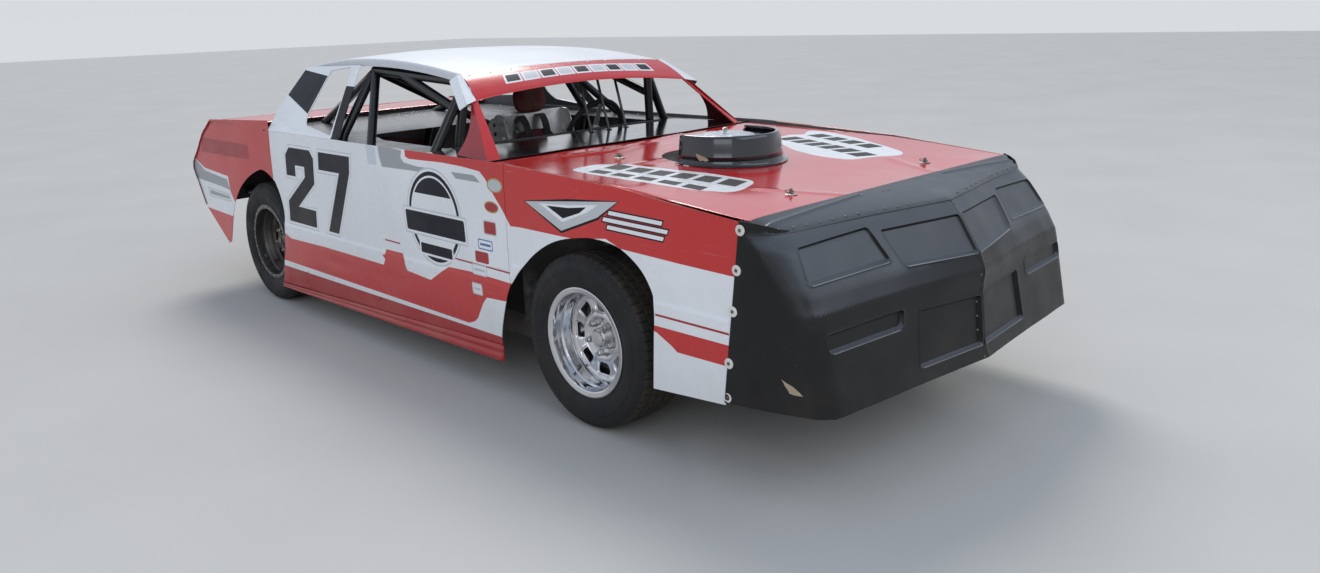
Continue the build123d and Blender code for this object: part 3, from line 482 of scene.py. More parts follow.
def grow(poly, d):
    """polygon pushed outwards by d with mitred corners"""
    p = ccw(poly)
    out = []
    n = len(p)
    for i in range(n):
        a, b, c = Vector(p[i - 1]), Vector(p[i]), Vector(p[(i + 1) % n])
        e1, e2 = (b - a).normalized(), (c - b).normalized()
        n1, n2 = Vector((e1.y, -e1.x)), Vector((e2.y, -e2.x))
        m = n1 + n2
        k = d / max(0.45, 1 + n1.dot(n2))
        out.append(tuple(b + m * k))
    return out


def round_poly(poly, r, n=5):
    """polygon with rounded corners"""
    p = [Vector(q) for q in poly]
    out = []
    for i in range(len(p)):
        a, b, c = p[i - 1], p[i], p[(i + 1) % len(p)]
        u, w = a - b, c - b
        cut = min(r, u.length * 0.45, w.length * 0.45)
        s_, e_ = b + u.normalized() * cut, b + w.normalized() * cut
        for k in range(n + 1):
            t = k / n
            out.append(tuple(s_ * (1 - t) ** 2 + b * (2 * t * (1 - t)) + e_ * t * t))
    return out


def spline(pts, n=4):
    """open curve through the points, sampled n times per span"""
    P = [Vector(p) for p in pts]
    P = [P[0] * 2 - P[1]] + P + [P[-1] * 2 - P[-2]]
    out = []
    for i in range(1, len(P) - 2):
        a, b, c, d = P[i - 1], P[i], P[i + 1], P[i + 2]
        for k in range(n):
            t = k / n
            out.append(tuple(0.5 * (2 * b + (c - a) * t + (2 * a - 5 * b + 4 * c - d) * t * t + (3 * b - a - 3 * c + d) * t ** 3)))
    out.append(tuple(P[-2]))
    return out


def circle(cx, cy, r, n=48, ry=None, rot=0.0):
    ry = ry or r
    return [(cx + r * math.cos(t) * math.cos(rot) - ry * math.sin(t) * math.sin(rot),
             cy + r * math.cos(t) * math.sin(rot) + ry * math.sin(t) * math.cos(rot)) for t in [2 * math.pi * k / n for k in range(n)]]


def covers(poly, C):
    """which points lie inside a polygon"""
    P = np.array([q[:2] for q in poly], float)
    Q = np.roll(P, -1, axis=0)
    inside = np.zeros(len(C), bool)
    for (x0, y0), (x1, y1) in zip(P, Q):
        if y0 == y1:
            continue
        inside ^= ((y0 > C[:, 1]) != (y1 > C[:, 1])) & (C[:, 0] < (x1 - x0) * (C[:, 1] - y0) / (y1 - y0) + x0)
    return inside


def sheet(name, outline, surf, mats, regions=(), holes=(), du=0.025, dv=0.025, lines=(), thick=0.002, out_dir=None,
          back="sheet_back", body="chassis", slot=None, replaces=(), rows=(), flip=False, extra=()):
    """thin panel: a flat outline cut into its colour fields, mapped on to a surface, with a back and rim.
    surf(u, v) gives (N, 3) points; out_dir is a direction on the outer side; regions are (polygon, material)."""
    names = [mats]
    for _, m in regions:
        if m not in names:
            names.append(m)
    if back not in names:
        names.append(back)
    coords, faces, edges = [], [], []

    def push(poly):
        p = ccw(poly)
        o = len(coords)
        coords.extend(Vector(q) for q in p)
        faces.append(list(range(o, o + len(p))))

    push(outline)
    for p, _ in regions:
        push(p)
    for p in holes:
        push(p)
    us, vs = [q[0] for q in outline], [q[1] for q in outline]
    u0, u1, v0, v1 = min(us), max(us), min(vs), max(vs)
    nu, nv = max(1, int((u1 - u0) / du)), max(1, int((v1 - v0) / dv))
    for i in range(nu + 1):
        for j in range(nv + 1):
            jog = 0.0 if j % 2 == 0 else 0.5
            coords.append(Vector((u0 + (u1 - u0) * (i + jog) / nu, v0 + (v1 - v0) * j / nv)))
    for a, b, n in rows:
        for k in range(n + 1):
            coords.append(Vector(a).lerp(Vector(b), k / n))
    coords.extend(Vector(q) for q in extra)
    for ln in lines:
        o = len(coords)
        coords.extend(Vector(q) for q in ln)
        edges.extend([(o + k, o + k + 1) for k in range(len(ln) - 1)])
    V2, E2, F2, _, _, OF = delaunay_2d_cdt(coords, edges, faces, 0, 1e-6, True)
    T = np.array([list(f) for f in F2], int)
    XY = np.array([q[:2] for q in V2], float)
    C = XY[T].mean(axis=1)
    ok = covers(outline, C)
    for p in holes:
        ok &= ~covers(p, C)
    which = np.zeros(len(T), int)
    for p, m in regions:
        which[covers(p, C)] = names.index(m)
    keep = [tuple(int(k) for k in f) for f in T[ok]]
    idx = [int(k) for k in which[ok]]
    used = sorted(set(k for f in keep for k in f))
    new = {k: i for i, k in enumerate(used)}
    F = [tuple(new[k] for k in f) for f in keep]
    UV = np.array([V2[k][:2] for k in used], float)
    P = surf(UV[:, 0], UV[:, 1])
    e = 5e-4
    Pu = surf(UV[:, 0] + e, UV[:, 1]) - surf(UV[:, 0] - e, UV[:, 1])
    Pv = surf(UV[:, 0], UV[:, 1] + e) - surf(UV[:, 0], UV[:, 1] - e)
    N = np.cross(Pu, Pv)
    N /= np.maximum(np.linalg.norm(N, axis=1, keepdims=True), 1e-12)
    sgn = 1.0
    if np.mean(N @ np.array(out_dir, float)) < 0:
        sgn = -1.0
    N *= sgn
    a0 = F[0]
    g = np.cross(P[a0[1]] - P[a0[0]], P[a0[2]] - P[a0[0]])
    tot = 0.0
    for f in F[:200]:
        g = np.cross(P[f[1]] - P[f[0]], P[f[2]] - P[f[0]])
        tot += float(g @ N[f[0]])
    if tot < 0:
        F = [f[::-1] for f in F]
    n = len(P)
    B = P - N * thick
    verts = np.vstack([P, B])
    allf = list(F) + [tuple(n + k for k in f[::-1]) for f in F]
    mi = list(idx) + [names.index(back)] * len(F)
    LN = [N[k] for f in F for k in f] + [-N[k] for f in F for k in f[::-1]]
    count = {}
    for fi, f in enumerate(F):
        for k in range(len(f)):
            a, b = f[k], f[(k + 1) % len(f)]
            key = (min(a, b), max(a, b))
            count.setdefault(key, []).append((a, b, fi))
    rimv, o = [], len(verts)
    for key, lst in count.items():
        if len(lst) == 1:
            a, b, fi = lst[0]
            q = [P[b], P[a], B[a], B[b]]
            nn = np.cross(q[1] - q[0], q[2] - q[0])
            nn = nn / max(np.linalg.norm(nn), 1e-12)
            allf.append((o, o + 1, o + 2, o + 3))
            rimv.extend(q)
            o += 4
            LN.extend([nn] * 4)
            mi.append(idx[fi])
    verts = np.vstack([verts, np.array(rimv)]) if rimv else verts
    me = bpy.data.meshes.new(name)
    me.from_pydata(verts.tolist(), [], allf)
    for m in names:
        me.materials.append(MATS[m])
    me.polygons.foreach_set("material_index", mi)
    me.polygons.foreach_set("use_smooth", [True] * len(me.polygons))
    me.normals_split_custom_set([tuple(x) for x in LN])
    me.update()
    return finish_obj(me, name, body, replaces)


def flat(o, ex, ey, bulge=0.0):
    """surface function of a plane through o with unit directions ex and ey"""
    O, X, Y = np.array(o, float), np.array(ex, float), np.array(ey, float)
    X, Y = X / np.linalg.norm(X), Y / np.linalg.norm(Y)
    Z = np.cross(X, Y)

    def f(u, v):
        w = bulge * np.sin(9 * u + 1.0) * np.sin(8 * v + 0.5)
        return O + np.outer(u, X) + np.outer(v, Y) + np.outer(w, Z)
    return f


def plate3(name, pts, mat, thick=0.003, out_dir=(0, 0, 1), bulge=0.0005, radius=0.0, grid=0.04, **kw):
    """flat plate through 3-D corner points"""
    P = [Vector(p) for p in pts]
    nrm = (P[1] - P[0]).cross(P[2] - P[0]).normalized()
    ex = (P[1] - P[0]).normalized()
    ey = nrm.cross(ex)
    uv = [((p - P[0]).dot(ex), (p - P[0]).dot(ey)) for p in P]
    if radius:
        uv = round_poly(uv, radius)
    return sheet(name, uv, flat(P[0], ex, ey, bulge), mat, thick=thick, out_dir=out_dir, du=grid, dv=grid, **kw)


def studs(name, pts, normals, r, h, mat, body="chassis", seg=12, flat_top=0.55):
    """row of small domed fasteners"""
    b = Build()
    for p, nn in zip(pts, normals):
        d = Vector(nn).normalized()
        V, F = lathe_data([(-h * 0.3, r), (h * 0.25, r), (h * 0.75, r * 0.8), (h, r * flat_top), (h * 1.02, r * 0.05)], p, d, seg)
        b.add(V, F + [tuple(range(4 * seg, 5 * seg))])
    return b.out(name, mat, body, angle=50)


def cad_copy(node, mat, bevel=0.002, name=None, seg=2):
    """copy of a hidden CAD piece with softened edges"""
    src = NODES[node]
    me = src.data.copy()
    me.name = (name or node) + "_skin"
    me.materials.clear()
    me.materials.append(MATS[mat])
    bm = bmesh.new()
    bm.from_mesh(me)
    bmesh.ops.remove_doubles(bm, verts=bm.verts, dist=2e-5)
    bmesh.ops.dissolve_limit(bm, angle_limit=math.radians(2.0), verts=bm.verts, edges=bm.edges)
    bm.to_mesh(me)
    bm.free()
    me.polygons.foreach_set("use_smooth", [True] * len(me.polygons))
    me.polygons.foreach_set("material_index", [0] * len(me.polygons))
    if me.attributes.get("custom_normal"):
        me.attributes.remove(me.attributes["custom_normal"])
    me.set_sharp_from_angle(angle=math.radians(35))
    ob = finish_obj(me, (name or node) + "_look", src["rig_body"], (node,))
    if bevel:
        m = ob.modifiers.new("edge", "BEVEL")
        m.width, m.segments, m.limit_method, m.angle_limit = bevel, seg, "ANGLE", math.radians(35)
        m.use_clamp_overlap = True
        m.harden_normals = False
    return ob


def set_mat(node, mat):
    me = NODES[node].data
    me.materials.clear()
    me.materials.append(MATS[mat])
    me.polygons.foreach_set("material_index", [0] * len(me.polygons))


# ---------------------------------------------------------------------------
# body side: one surface for fender, door and quarter, written for x > 0
# ---------------------------------------------------------------------------


def smoothstep(t):
    t = np.clip(t, 0, 1)
    return t * t * (3 - 2 * t)


def side_out(y, z):
    """distance of the outer skin from the middle plane"""
    x = 0.8485 + 0 * y
    zc = np.where(y < -0.858, 0.575, 0.482)
    amt = np.where(y < -0.858, 0.7, 1.0) * (1 - smoothstep((y - 1.15) / 0.08))
    t = (zc - z)
    step = smoothstep((t + 0.007) / 0.014)
    below = np.clip(t, 0, 1)
    x = x + amt * (0.0078 * step - 0.0170 * (below / 0.34) ** 1.2 * (below > 0))
    # the top of the sheet leans in a little, and the rear quarter draws in
    x = x - 0.006 * smoothstep((z - 0.84) / 0.15)
    x = x - 0.010 * smoothstep((y - 1.6) / 0.9) - 0.004 * smoothstep((-1.75 - y) / 0.3)
    # waves and knocks in the sheet
    x = x + 0.0010 * np.sin(5.1 * y + 1.3) * np.sin(7.3 * z + 0.4) + 0.0006 * np.sin(13.0 * y + 6.0 * z)
    for (yc, zk, sy, sz, a) in DENTS:
        x = x + a * np.exp(-((y - yc) / sy) ** 2 - ((z - zk) / sz) ** 2)
    return x


DENTS = [(0.05, 0.36, 0.16, 0.035, -0.0028), (0.62, 0.35, 0.22, 0.03, -0.0030), (-0.45, 0.33, 0.11, 0.04, 0.0022),
         (1.02, 0.60, 0.08, 0.10, -0.0018), (-0.20, 0.88, 0.20, 0.03, -0.0016), (1.55, 0.86, 0.10, 0.05, -0.0022),
         (2.02, 0.80, 0.09, 0.09, 0.0022), (-1.86, 0.62, 0.05, 0.12, -0.0024), (-1.10, 0.86, 0.14, 0.04, -0.0015),
         (0.80, 0.90, 0.10, 0.02, 0.0012), (-0.62, 0.60, 0.06, 0.16, 0.0012)]


def side_surf(sx, off=0.0):
    def f(y, z):
        return np.column_stack([sx * (side_out(y, z) + off), y, z])
    return f


front_arch = [(-773, 177), (-769, 263), (-819, 400), (-863, 491), (-915, 545), (-1001, 623), (-1100, 685),
              (-1192, 721), (-1292, 742), (-1364, 751), (-1445, 749), (-1522, 735), (-1596, 697),
              (-1643, 655), (-1679, 594), (-1685, 528), (-1677, 455), (-1656, 254)]
rear_arch = [(1839, 527), (1737, 620), (1602, 697), (1452, 750), (1373, 752), (1302, 730), (1247, 703),
             (1204, 636), (1179, 545), (1194, 444), (1226, 327), (1257, 238), (1291, 135)]
fender_poly = mmp([(-858.5, 974.2), (-858.5, 888), (-864.5, 491)] + spline(front_arch[3:17], 3)[3:] +
                  [(-1656, 254), (-1990, 281), (-2066, 897.5), (-1780, 922.5), (-1536, 946.5), (-1200, 961)])
door_poly = mmp([(-855.5, 888), (-861.5, 491)] + spline(front_arch[:4], 3)[::-1][1:-1] + [(-773, 218), (1289, 137)] +
                spline(rear_arch[6:-1][::-1], 3) + [(1267, 713), (1267, 978), (571, 979), (400, 977), (-776, 977), (-855.5, 974.2)])
quarter_poly = mmp([(1270, 1033), (1700, 1014), (2098, 996), (2240, 907), (2362, 792), (2464, 694), (2323, 454), (2016, 255),
                    (1980, 272), (1895, 442)] + spline(rear_arch[:7], 3)[:-1] + [(1270, 714)])

fender_upper = [(-124, 985), (-127, 948), (-157, 940), (-426, 945), (-562, 941), (-665, 934), (-692, 932), (-731, 906),
                (-795, 836), (-831, 800), (-884, 733), (-952, 736), (-1258, 735), (-1445, 760), (-1522, 735), (-1817, 726),
                (-2090, 719.5), (-2090, 990)]
grey_one = [(110, 985), (-98, 972), (-87, 941), (-115, 920), (-228, 912), (-344, 912), (-280, 891), (77, 886), (97, 927)]
grey_two = [(-485, 912), (-652, 913), (-697, 887), (-521, 887)]
pale_one = [(222, 985), (131, 968), (126, 888), (203, 888)]
pin_a = [(115, 544), (-21, 544), (-21, 537), (115, 537)]
pin_b = [(-470, 544), (-866, 544), (-866, 537), (-470, 537)]
pin_c = [(-1690, 536), (-2020, 534), (-2020, 526), (-1690, 528)]
wedge = [(-1660, 492), (-2030, 492), (-2030, 419), (-1785, 417), (-1766, 431), (-1692, 468), (-1660, 474)]
red_band = [(1210, 431), (1120, 408), (722, 417), (139, 417), (119, 449), (144, 464), (115, 472), (110, 495), (-38, 497),
            (-74, 424), (-268, 412), (-365, 466), (-417, 494), (-579, 501), (-880, 498), (-860, 440), (-822, 416),
            (-694, 409), (-663, 380), (-609, 303), (-584, 284), (-536, 267), (1260, 270), (1240, 327), (1215, 425)]
skirt_area = [(1300, 238), (-790, 252), (-790, 100), (1310, 100)]

DIGITS = {
    "2": [(0, 250), (0, 360), (40, 400), (260, 400), (300, 360), (300, 230), (110, 90), (300, 90), (300, 0), (0, 0), (0, 110),
          (200, 255), (200, 310), (100, 310), (100, 250)],
    "7": [(0, 400), (300, 400), (300, 320), (170, 0), (70, 0), (200, 310), (0, 310)],
}


def place_digit(ch, y0, z0, w, h, s, shear=0.10):
    """digit outline on the side; s is -1 where the reader's right is -y"""
    return mmp([(y0 + s * (a * w / 300.0 + b * shear * h / 400.0), z0 + b * h / 400.0) for a, b in DIGITS[ch]])


def side_regions(sx):
    """colour fields of the body side, lowest first; the numbers read the right way on both sides"""
    s = -1 if sx < 0 else 1
    R = [(mmp(fender_upper), "red_paint"), (mmp(grey_one), "grey_vinyl"), (mmp(grey_two), "grey_vinyl"),
         (mmp(pale_one), "pale_vinyl"), (mmp(pin_a), "crimson_vinyl"), (mmp(pin_b), "crimson_vinyl"),
         (mmp(pin_c), "crimson_vinyl"), (mmp(wedge), "red_paint"), (mmp(red_band), "red_paint"),
         (mmp(skirt_area), "skirt_paint")]
    y0 = 1118 if s < 0 else 352
    for ch, off in (("2", 0), ("7", 372)):
        d = place_digit(ch, y0 + s * off, 506, 318, 400, s)
        R += [(grow(d, 0.017), "silver_vinyl"), (grow(d, 0.0125), "white_paint")]
    for ch, off in (("2", 0), ("7", 372)):
        R.append((place_digit(ch, y0 + s * off, 506, 318, 400, s), "number_vinyl"))
    # roundel: ring with a dark upper field and two blank bars
    cy, cz = -0.330, 0.700
    R += [(circle(cy, cz, 0.216, 64), "silver_vinyl"), (circle(cy, cz, 0.210, 64), "white_paint"),
          (circle(cy, cz, 0.199, 64), "navy_vinyl"), (circle(cy, cz, 0.181, 64), "white_paint")]
    cap = [(cy + 0.172 * math.cos(t), cz + 0.172 * math.sin(t)) for t in [math.radians(a) for a in range(34, 147, 4)]]
    R += [(cap, "navy_vinyl")]
    R += [(grow(mmp([(-96, 712), (-560, 712), (-566, 622), (-102, 622)]), 0.016), "silver_vinyl"),
          (grow(mmp([(-96, 712), (-560, 712), (-566, 622), (-102, 622)]), 0.011), "white_paint"),
          (round_poly(mmp([(-96, 712), (-560, 712), (-566, 622), (-102, 622)]), 0.012), "navy_vinyl"),
          (grow(mmp([(-205, 575), (-452, 575), (-452, 530), (-205, 530)]), 0.010), "white_paint"),
          (round_poly(mmp([(-205, 575), (-452, 575), (-452, 530), (-205, 530)]), 0.008), "navy_vinyl")]
    # column of small blank labels
    for (y, z, a, b, rim, fill) in ((-795, 885, 52, 30, "gold_vinyl", "silver_vinyl"), (-765, 795, 48, 24, "gold_vinyl", "crimson_vinyl"),
                                    (-745, 707, 44, 30, "silver_vinyl", "crimson_vinyl"), (-705, 632, 50, 22, "blue_vinyl", "white_paint"),
                                    (-675, 576, 46, 24, "crimson_vinyl", "crimson_vinyl"), (-650, 518, 52, 24, "silver_vinyl", "white_paint"),
                                    (-632, 436, 36, 26, "silver_vinyl", "white_paint")):
        q = [(y - a, z - b), (y + a, z - b), (y + a, z + b), (y - a, z + b)]
        if z > 780:
            R += [(circle(y * mm, z * mm, a * mm, 28, b * mm), rim), (circle(y * mm, z * mm, (a - 6) * mm, 28, (b - 6) * mm), fill)]
        else:
            R += [(round_poly(mmp(q), 0.010), rim), (round_poly(grow(mmp(q), -0.005), 0.008), fill)]
            if fill == "white_paint":
                R += [(mmp([(y - a + 14, z - 5), (y + a - 14, z - 5), (y + a - 14, z + 5), (y - a + 14, z + 5)]), rim)]
    # fender: blank shield and three plain bars
    sh = mmp([(-989, 844), (-1250, 872), (-1514, 899), (-1406, 831), (-1201, 757)])
    R += [(grow(sh, 0.009), "black_vinyl"), (sh, "silver_vinyl"),
          (mmp([(-1075, 846), (-1250, 858), (-1410, 876), (-1350, 842), (-1210, 790)]), "white_paint"),
          (mmp([(-1120, 842), (-1250, 848), (-1350, 862), (-1310, 836), (-1215, 805)]), "black_vinyl")]
    for za, ya, yb in ((863, -1470, -1735), (837, -1440, -1760), (811, -1460, -1740)):
        bar = mmp([(ya, za), (yb, za - 5), (yb + 6, za - 19), (ya + 6, za - 14)])
        R += [(grow(bar, 0.005), "black_vinyl"), (bar, "white_paint")]
    # quarter: bands, white flank and a plain bar
    R += [(mmp([(2500, 767), (2400, 734), (2263, 692), (1905, 673), (1889, 581), (1860, 545), (1839, 527), (1895, 442), (1906, 434),
                (2326, 443), (2500, 560)]), "white_paint"),
          (mmp([(2394, 727), (2260, 673), (1927, 653), (1886, 590), (1960, 596), (2008, 600), (2401, 614), (2500, 700), (2500, 760)]), "grey_vinyl"),
          (mmp([(2240, 520), (1890, 520), (1896, 566), (2260, 574)]), "silver_vinyl"),
          (mmp([(2230, 527), (1900, 527), (1904, 559), (2246, 567)]), "white_paint"),
          (mmp([(2216, 534), (1912, 534), (1915, 552), (2230, 560)]), "grey_vinyl"),
          (mmp([(1906, 434), (2326, 443), (2500, 560), (2500, 200), (1850, 200)]), "red_paint"),
          (mmp([(2250, 880), (1560, 880), (1560, 800), (2280, 790)]), "crimson_vinyl")]
    return R


def reg_clip(R, lo, hi):
    """fields that reach the span lo to hi along y"""
    return [(p, m) for p, m in R if min(q[0] for q in p) < hi and max(q[0] for q in p) > lo]


def crease_rows(y0, y1, zc, n):
    return [((y0, zc + k), (y1, zc + k), n) for k in (-0.009, -0.006, -0.003, 0.0, 0.003, 0.006, 0.009)]


for sx, tag in ((-1, "right"), (1, "left")):
    R = side_regions(sx)
    rep = {"front_fenders": sx < 0, "door_panels": sx < 0, "quarter_panels": sx < 0}
    sheet("fender_skin_" + tag, fender_poly, side_surf(sx), "white_paint", reg_clip(R, -2.1, -0.8585), du=0.026, dv=0.024,
          rows=crease_rows(-2.06, -0.86, 0.575, 60), out_dir=(sx, 0, 0), thick=0.0025, slot="fender_livery",
          replaces=("front_fenders",) if sx < 0 else ())
    sheet("door_skin_" + tag, door_poly, side_surf(sx), "white_paint", reg_clip(R, -0.8555, 1.267), du=0.026, dv=0.024,
          rows=crease_rows(-0.86, 1.26, 0.482, 90), out_dir=(sx, 0, 0), thick=0.0025, slot="door_livery",
          replaces=("door_panels",) if sx < 0 else ())
    sheet("quarter_skin_" + tag, quarter_poly, side_surf(sx), "red_paint", reg_clip(R, 1.270, 2.6), du=0.026, dv=0.024,
          out_dir=(sx, 0, 0), thick=0.0025, slot="quarter_livery", replaces=("quarter_panels",) if sx < 0 else ())

# ---------------------------------------------------------------------------
# hood
# ---------------------------------------------------------------------------
HY = np.array([-2.082, -1.900, -1.536, -1.100, -0.690])
HZ = np.array([0.900, 0.915, 0.944, 0.955, 0.962])
HS = np.array([0.001, 0.011, 0.019, 0.019, 0.005])


def soft_interp(y, xs, vs, w=0.07):
    return sum(k * np.interp(y + d * w, xs, vs) for d, k in ((-1, 1), (-0.5, 2), (0, 3), (0.5, 2), (1, 1))) / 9.0


def ridge(x, y, pts, a, w):
    """soft fold line along a polyline in plan"""
    best = np.full_like(x, 9.0)
    for (x0, y0), (x1, y1) in zip(pts, pts[1:]):
        dx, dy = x1 - x0, y1 - y0
        t = np.clip(((x - x0) * dx + (y - y0) * dy) / (dx * dx + dy * dy), 0, 1)
        best = np.minimum(best, np.hypot(x - x0 - t * dx, y - y0 - t * dy))
    return a * np.exp(-(best / w) ** 2)


def hood_z(x, y):
    z = soft_interp(y, HY, HZ) - soft_interp(y, HY, HS) * (1 - (x / 0.817) ** 2)
    z = z + ridge(x, y, [(-0.303, -2.071), (-0.361, -1.959), (-0.444, -1.802)], 0.0035, 0.020)
    z = z + ridge(x, y, [(-0.545, -1.094), (-0.391, -1.126), (-0.225, -1.123)], 0.0030, 0.022)
    z = z + ridge(x, y, [(-0.447, -0.808), (-0.277, -0.820), (0.052, -0.733), (0.311, -0.692)], 0.0035, 0.024)
    z = z + ridge(x, y, [(0.30, -2.06), (0.36, -1.90), (0.42, -1.78)], 0.0025, 0.020)
    z = z + 0.0016 * np.sin(6.2 * x + 0.6) * np.sin(4.3 * y + 1.1) + 0.0009 * np.sin(11.0 * x - 7.0 * y)
    # turned-down edges
    edge = np.minimum(np.minimum(0.817 - np.abs(x), y + 2.082), -0.690 - y)
    z = z - 0.0006 * np.exp(-np.clip(edge, 0, 1) / 0.0015)
    return z


def hood_surf(x, y):
    return np.column_stack([x, y, hood_z(x, y)])


def slot_outline(cx, cy, gap, r, n=20):
    p = []
    for k in range(n + 1):
        t = math.pi * k / n
        p.append((cx + r * math.cos(t), cy + gap / 2 + r * math.sin(t)))
    for k in range(n + 1):
        t = math.pi + math.pi * k / n
        p.append((cx + r * math.cos(t), cy - gap / 2 + r * math.sin(t)))
    return p


near_mark = [(-690, -1070), (-520, -1030), (-410, -1140), (-352, -1462), (-340, -1690), (-375, -1730), (-495, -1780), (-563, -1782),
             (-640, -1660), (-690, -1450), (-705, -1200)]
far_mark = [(470, -1120), (620, -1118), (650, -1170), (765, -1110), (775, -1220), (725, -1385), (600, -1680), (560, -1760), (500, -1790),
            (405, -1725), (262, -1700), (232, -1560), (290, -1390), (400, -1230)]


def cells(x0, y0, x1, y1, n, w0, w1, skew):
    """row of plain slanted blocks between two points"""
    a, b = Vector((x0, y0)), Vector((x1, y1))
    d = b - a
    t = Vector((-d.y, d.x)).normalized()
    out = []
    for k in range(n):
        p, q = a + d * ((k + 0.12) / n), a + d * ((k + 0.88) / n)
        out.append(mmp([p + t * w0 + d.normalized() * skew, q + t * w0 + d.normalized() * skew, q + t * w1, p + t * w1]))
    return out


hood_R = [(round_poly(mmp(near_mark), 0.05), "white_paint")]
hood_R += [(c, "black_vinyl") for c in cells(-612, -1100, -522, -1728, 6, 46, 158, 18)]
hood_R += [(c, "black_vinyl") for c in cells(-640, -1130, -585, -1690, 5, -36, 30, 14)]
hood_R += [(round_poly(mmp(far_mark), 0.05), "white_paint")]
hood_R += [(c, "black_vinyl") for c in cells(610, -1165, 452, -1735, 6, -122, -22, -16)]
hood_R += [(c, "black_vinyl") for c in cells(700, -1205, 580, -1640, 4, -58, 22, -12)]
hood_poly = mmp([(-817, -2082), (817, -2082), (815, -1400), (800, -690), (-800, -690), (-815, -1400)])
edge_pts = []
for k in range(60):
    t = k / 59
    for inset in (0.0012, 0.0028, 0.006):
        edge_pts += [(-0.817 + inset + 1.634 * t * 0.99, -2.082 + inset), (-0.800 + 1.6 * t, -0.690 - inset)]
        yy = -2.079 + 1.386 * t
        xs_ = 0.817 - 0.002 * (yy + 2.082) / 0.682 if yy < -1.4 else 0.815 - 0.015 * (yy + 1.4) / 0.71
        edge_pts += [(xs_ - inset, yy), (-xs_ + inset, yy)]
sheet("hood_skin", hood_poly, hood_surf, "hood_paint", hood_R, holes=[slot_outline(-0.040, -1.246, 0.108, 0.192)], du=0.024, dv=0.024,
      extra=edge_pts, out_dir=(0, 0, 1), thick=0.0022, slot="panel_red", body="hood", replaces=("hood",))

# shroud round the air cleaner
cx, cy0, cy1, R0 = -0.040, -1.316, -1.236, 0.222
path = []
NS = 46
for k in range(NS + 1):
    t = math.pi + math.pi * k / NS
    path.append((math.cos(t), math.sin(t)))


def shroud_ring(off, z, flat_base=None):
    """one horseshoe ring, off is the distance outside the base wall"""
    out = []
    r = R0 + off
    for yy in (cy1, cy1 - 0.025, cy1 - 0.05):
        out.append((cx - r, yy))
    out += [(cx + r * a, cy0 + r * b) for a, b in path]
    for yy in (cy1 - 0.05, cy1 - 0.025, cy1):
        out.append((cx + r, yy))
    X = np.array([p[0] for p in out])
    Y = np.array([p[1] for p in out])
    Z = hood_z(X, Y) + z if flat_base else np.full_like(X, z)
    return [Vector((a, b, c)) for a, b, c in zip(X, Y, Z)]


rings = [shroud_ring(0.017, 0.0028, True), shroud_ring(0.0165, 0.0052, True), shroud_ring(0.006, 0.0062, True),
         shroud_ring(0.0015, 0.0085, True), shroud_ring(0.000, 0.0140, True), shroud_ring(-0.0035, 0.955), shroud_ring(-0.0075, 0.990),
         shroud_ring(-0.0110, 1.018), shroud_ring(-0.0132, 1.034), shroud_ring(-0.0155, 1.0425), shroud_ring(-0.0205, 1.0472),
         shroud_ring(-0.0270, 1.0478), shroud_ring(-0.0335, 1.0462), shroud_ring(-0.0350, 1.040), shroud_ring(-0.0330, 1.036),
         shroud_ring(-0.0250, 1.040), shroud_ring(-0.0180, 1.032), shroud_ring(-0.0100, 0.985), shroud_ring(-0.0040, 0.950)]
b = Build()
n = len(rings[0])
b.add([p for r_ in rings for p in r_], [(i * n + k, i * n + k + 1, (i + 1) * n + k + 1, (i + 1) * n + k)
                                        for i in range(len(rings) - 1) for k in range(n - 1)])
for s_, k0 in ((-1, 0), (1, n - 1)):
    # folded end of each wall
    for h0, h1 in ((0.940, 0.990), (0.990, 1.036)):
        o0, o1 = (-0.003, -0.0075), (-0.0075, -0.0135)
    end = [(cx + s_ * (R0 - 0.002), cy1, 0.937), (cx + s_ * (R0 - 0.030), cy1 + 0.001, 0.937), (cx + s_ * (R0 - 0.042), cy1 + 0.001, 1.030),
           (cx + s_ * (R0 - 0.016), cy1, 1.040)]
    b.add(end, [(0, 1, 2, 3)])
ob = b.out("shroud_skin", "scoop_plastic", "hood", "scoop_black", ("hood_scoop",), angle=60)
m_ = ob.modifiers.new("wall", "SOLIDIFY")
m_.thickness, m_.offset = 0.002, -1
# torn scrap of a peeled label low on the shroud
V = []
for a, z in ((190, 0.966), (184, 0.981), (188, 0.977), (192, 0.972), (197, 0.966), (200, 0.957), (197, 0.951), (193, 0.955), (190, 0.952), (188, 0.957),
             (185, 0.969)):
    t = math.radians(a)
    rr = R0 - 0.0028 - (z - 0.955) * 0.11 + 0.0013
    V.append((cx + rr * math.cos(t), cy0 + rr * math.sin(t), z))
F = [(0, k, k % 10 + 1) for k in range(1, 11)]
mesh_obj("shroud_scrap", V, F, "torn_plastic", "hood")

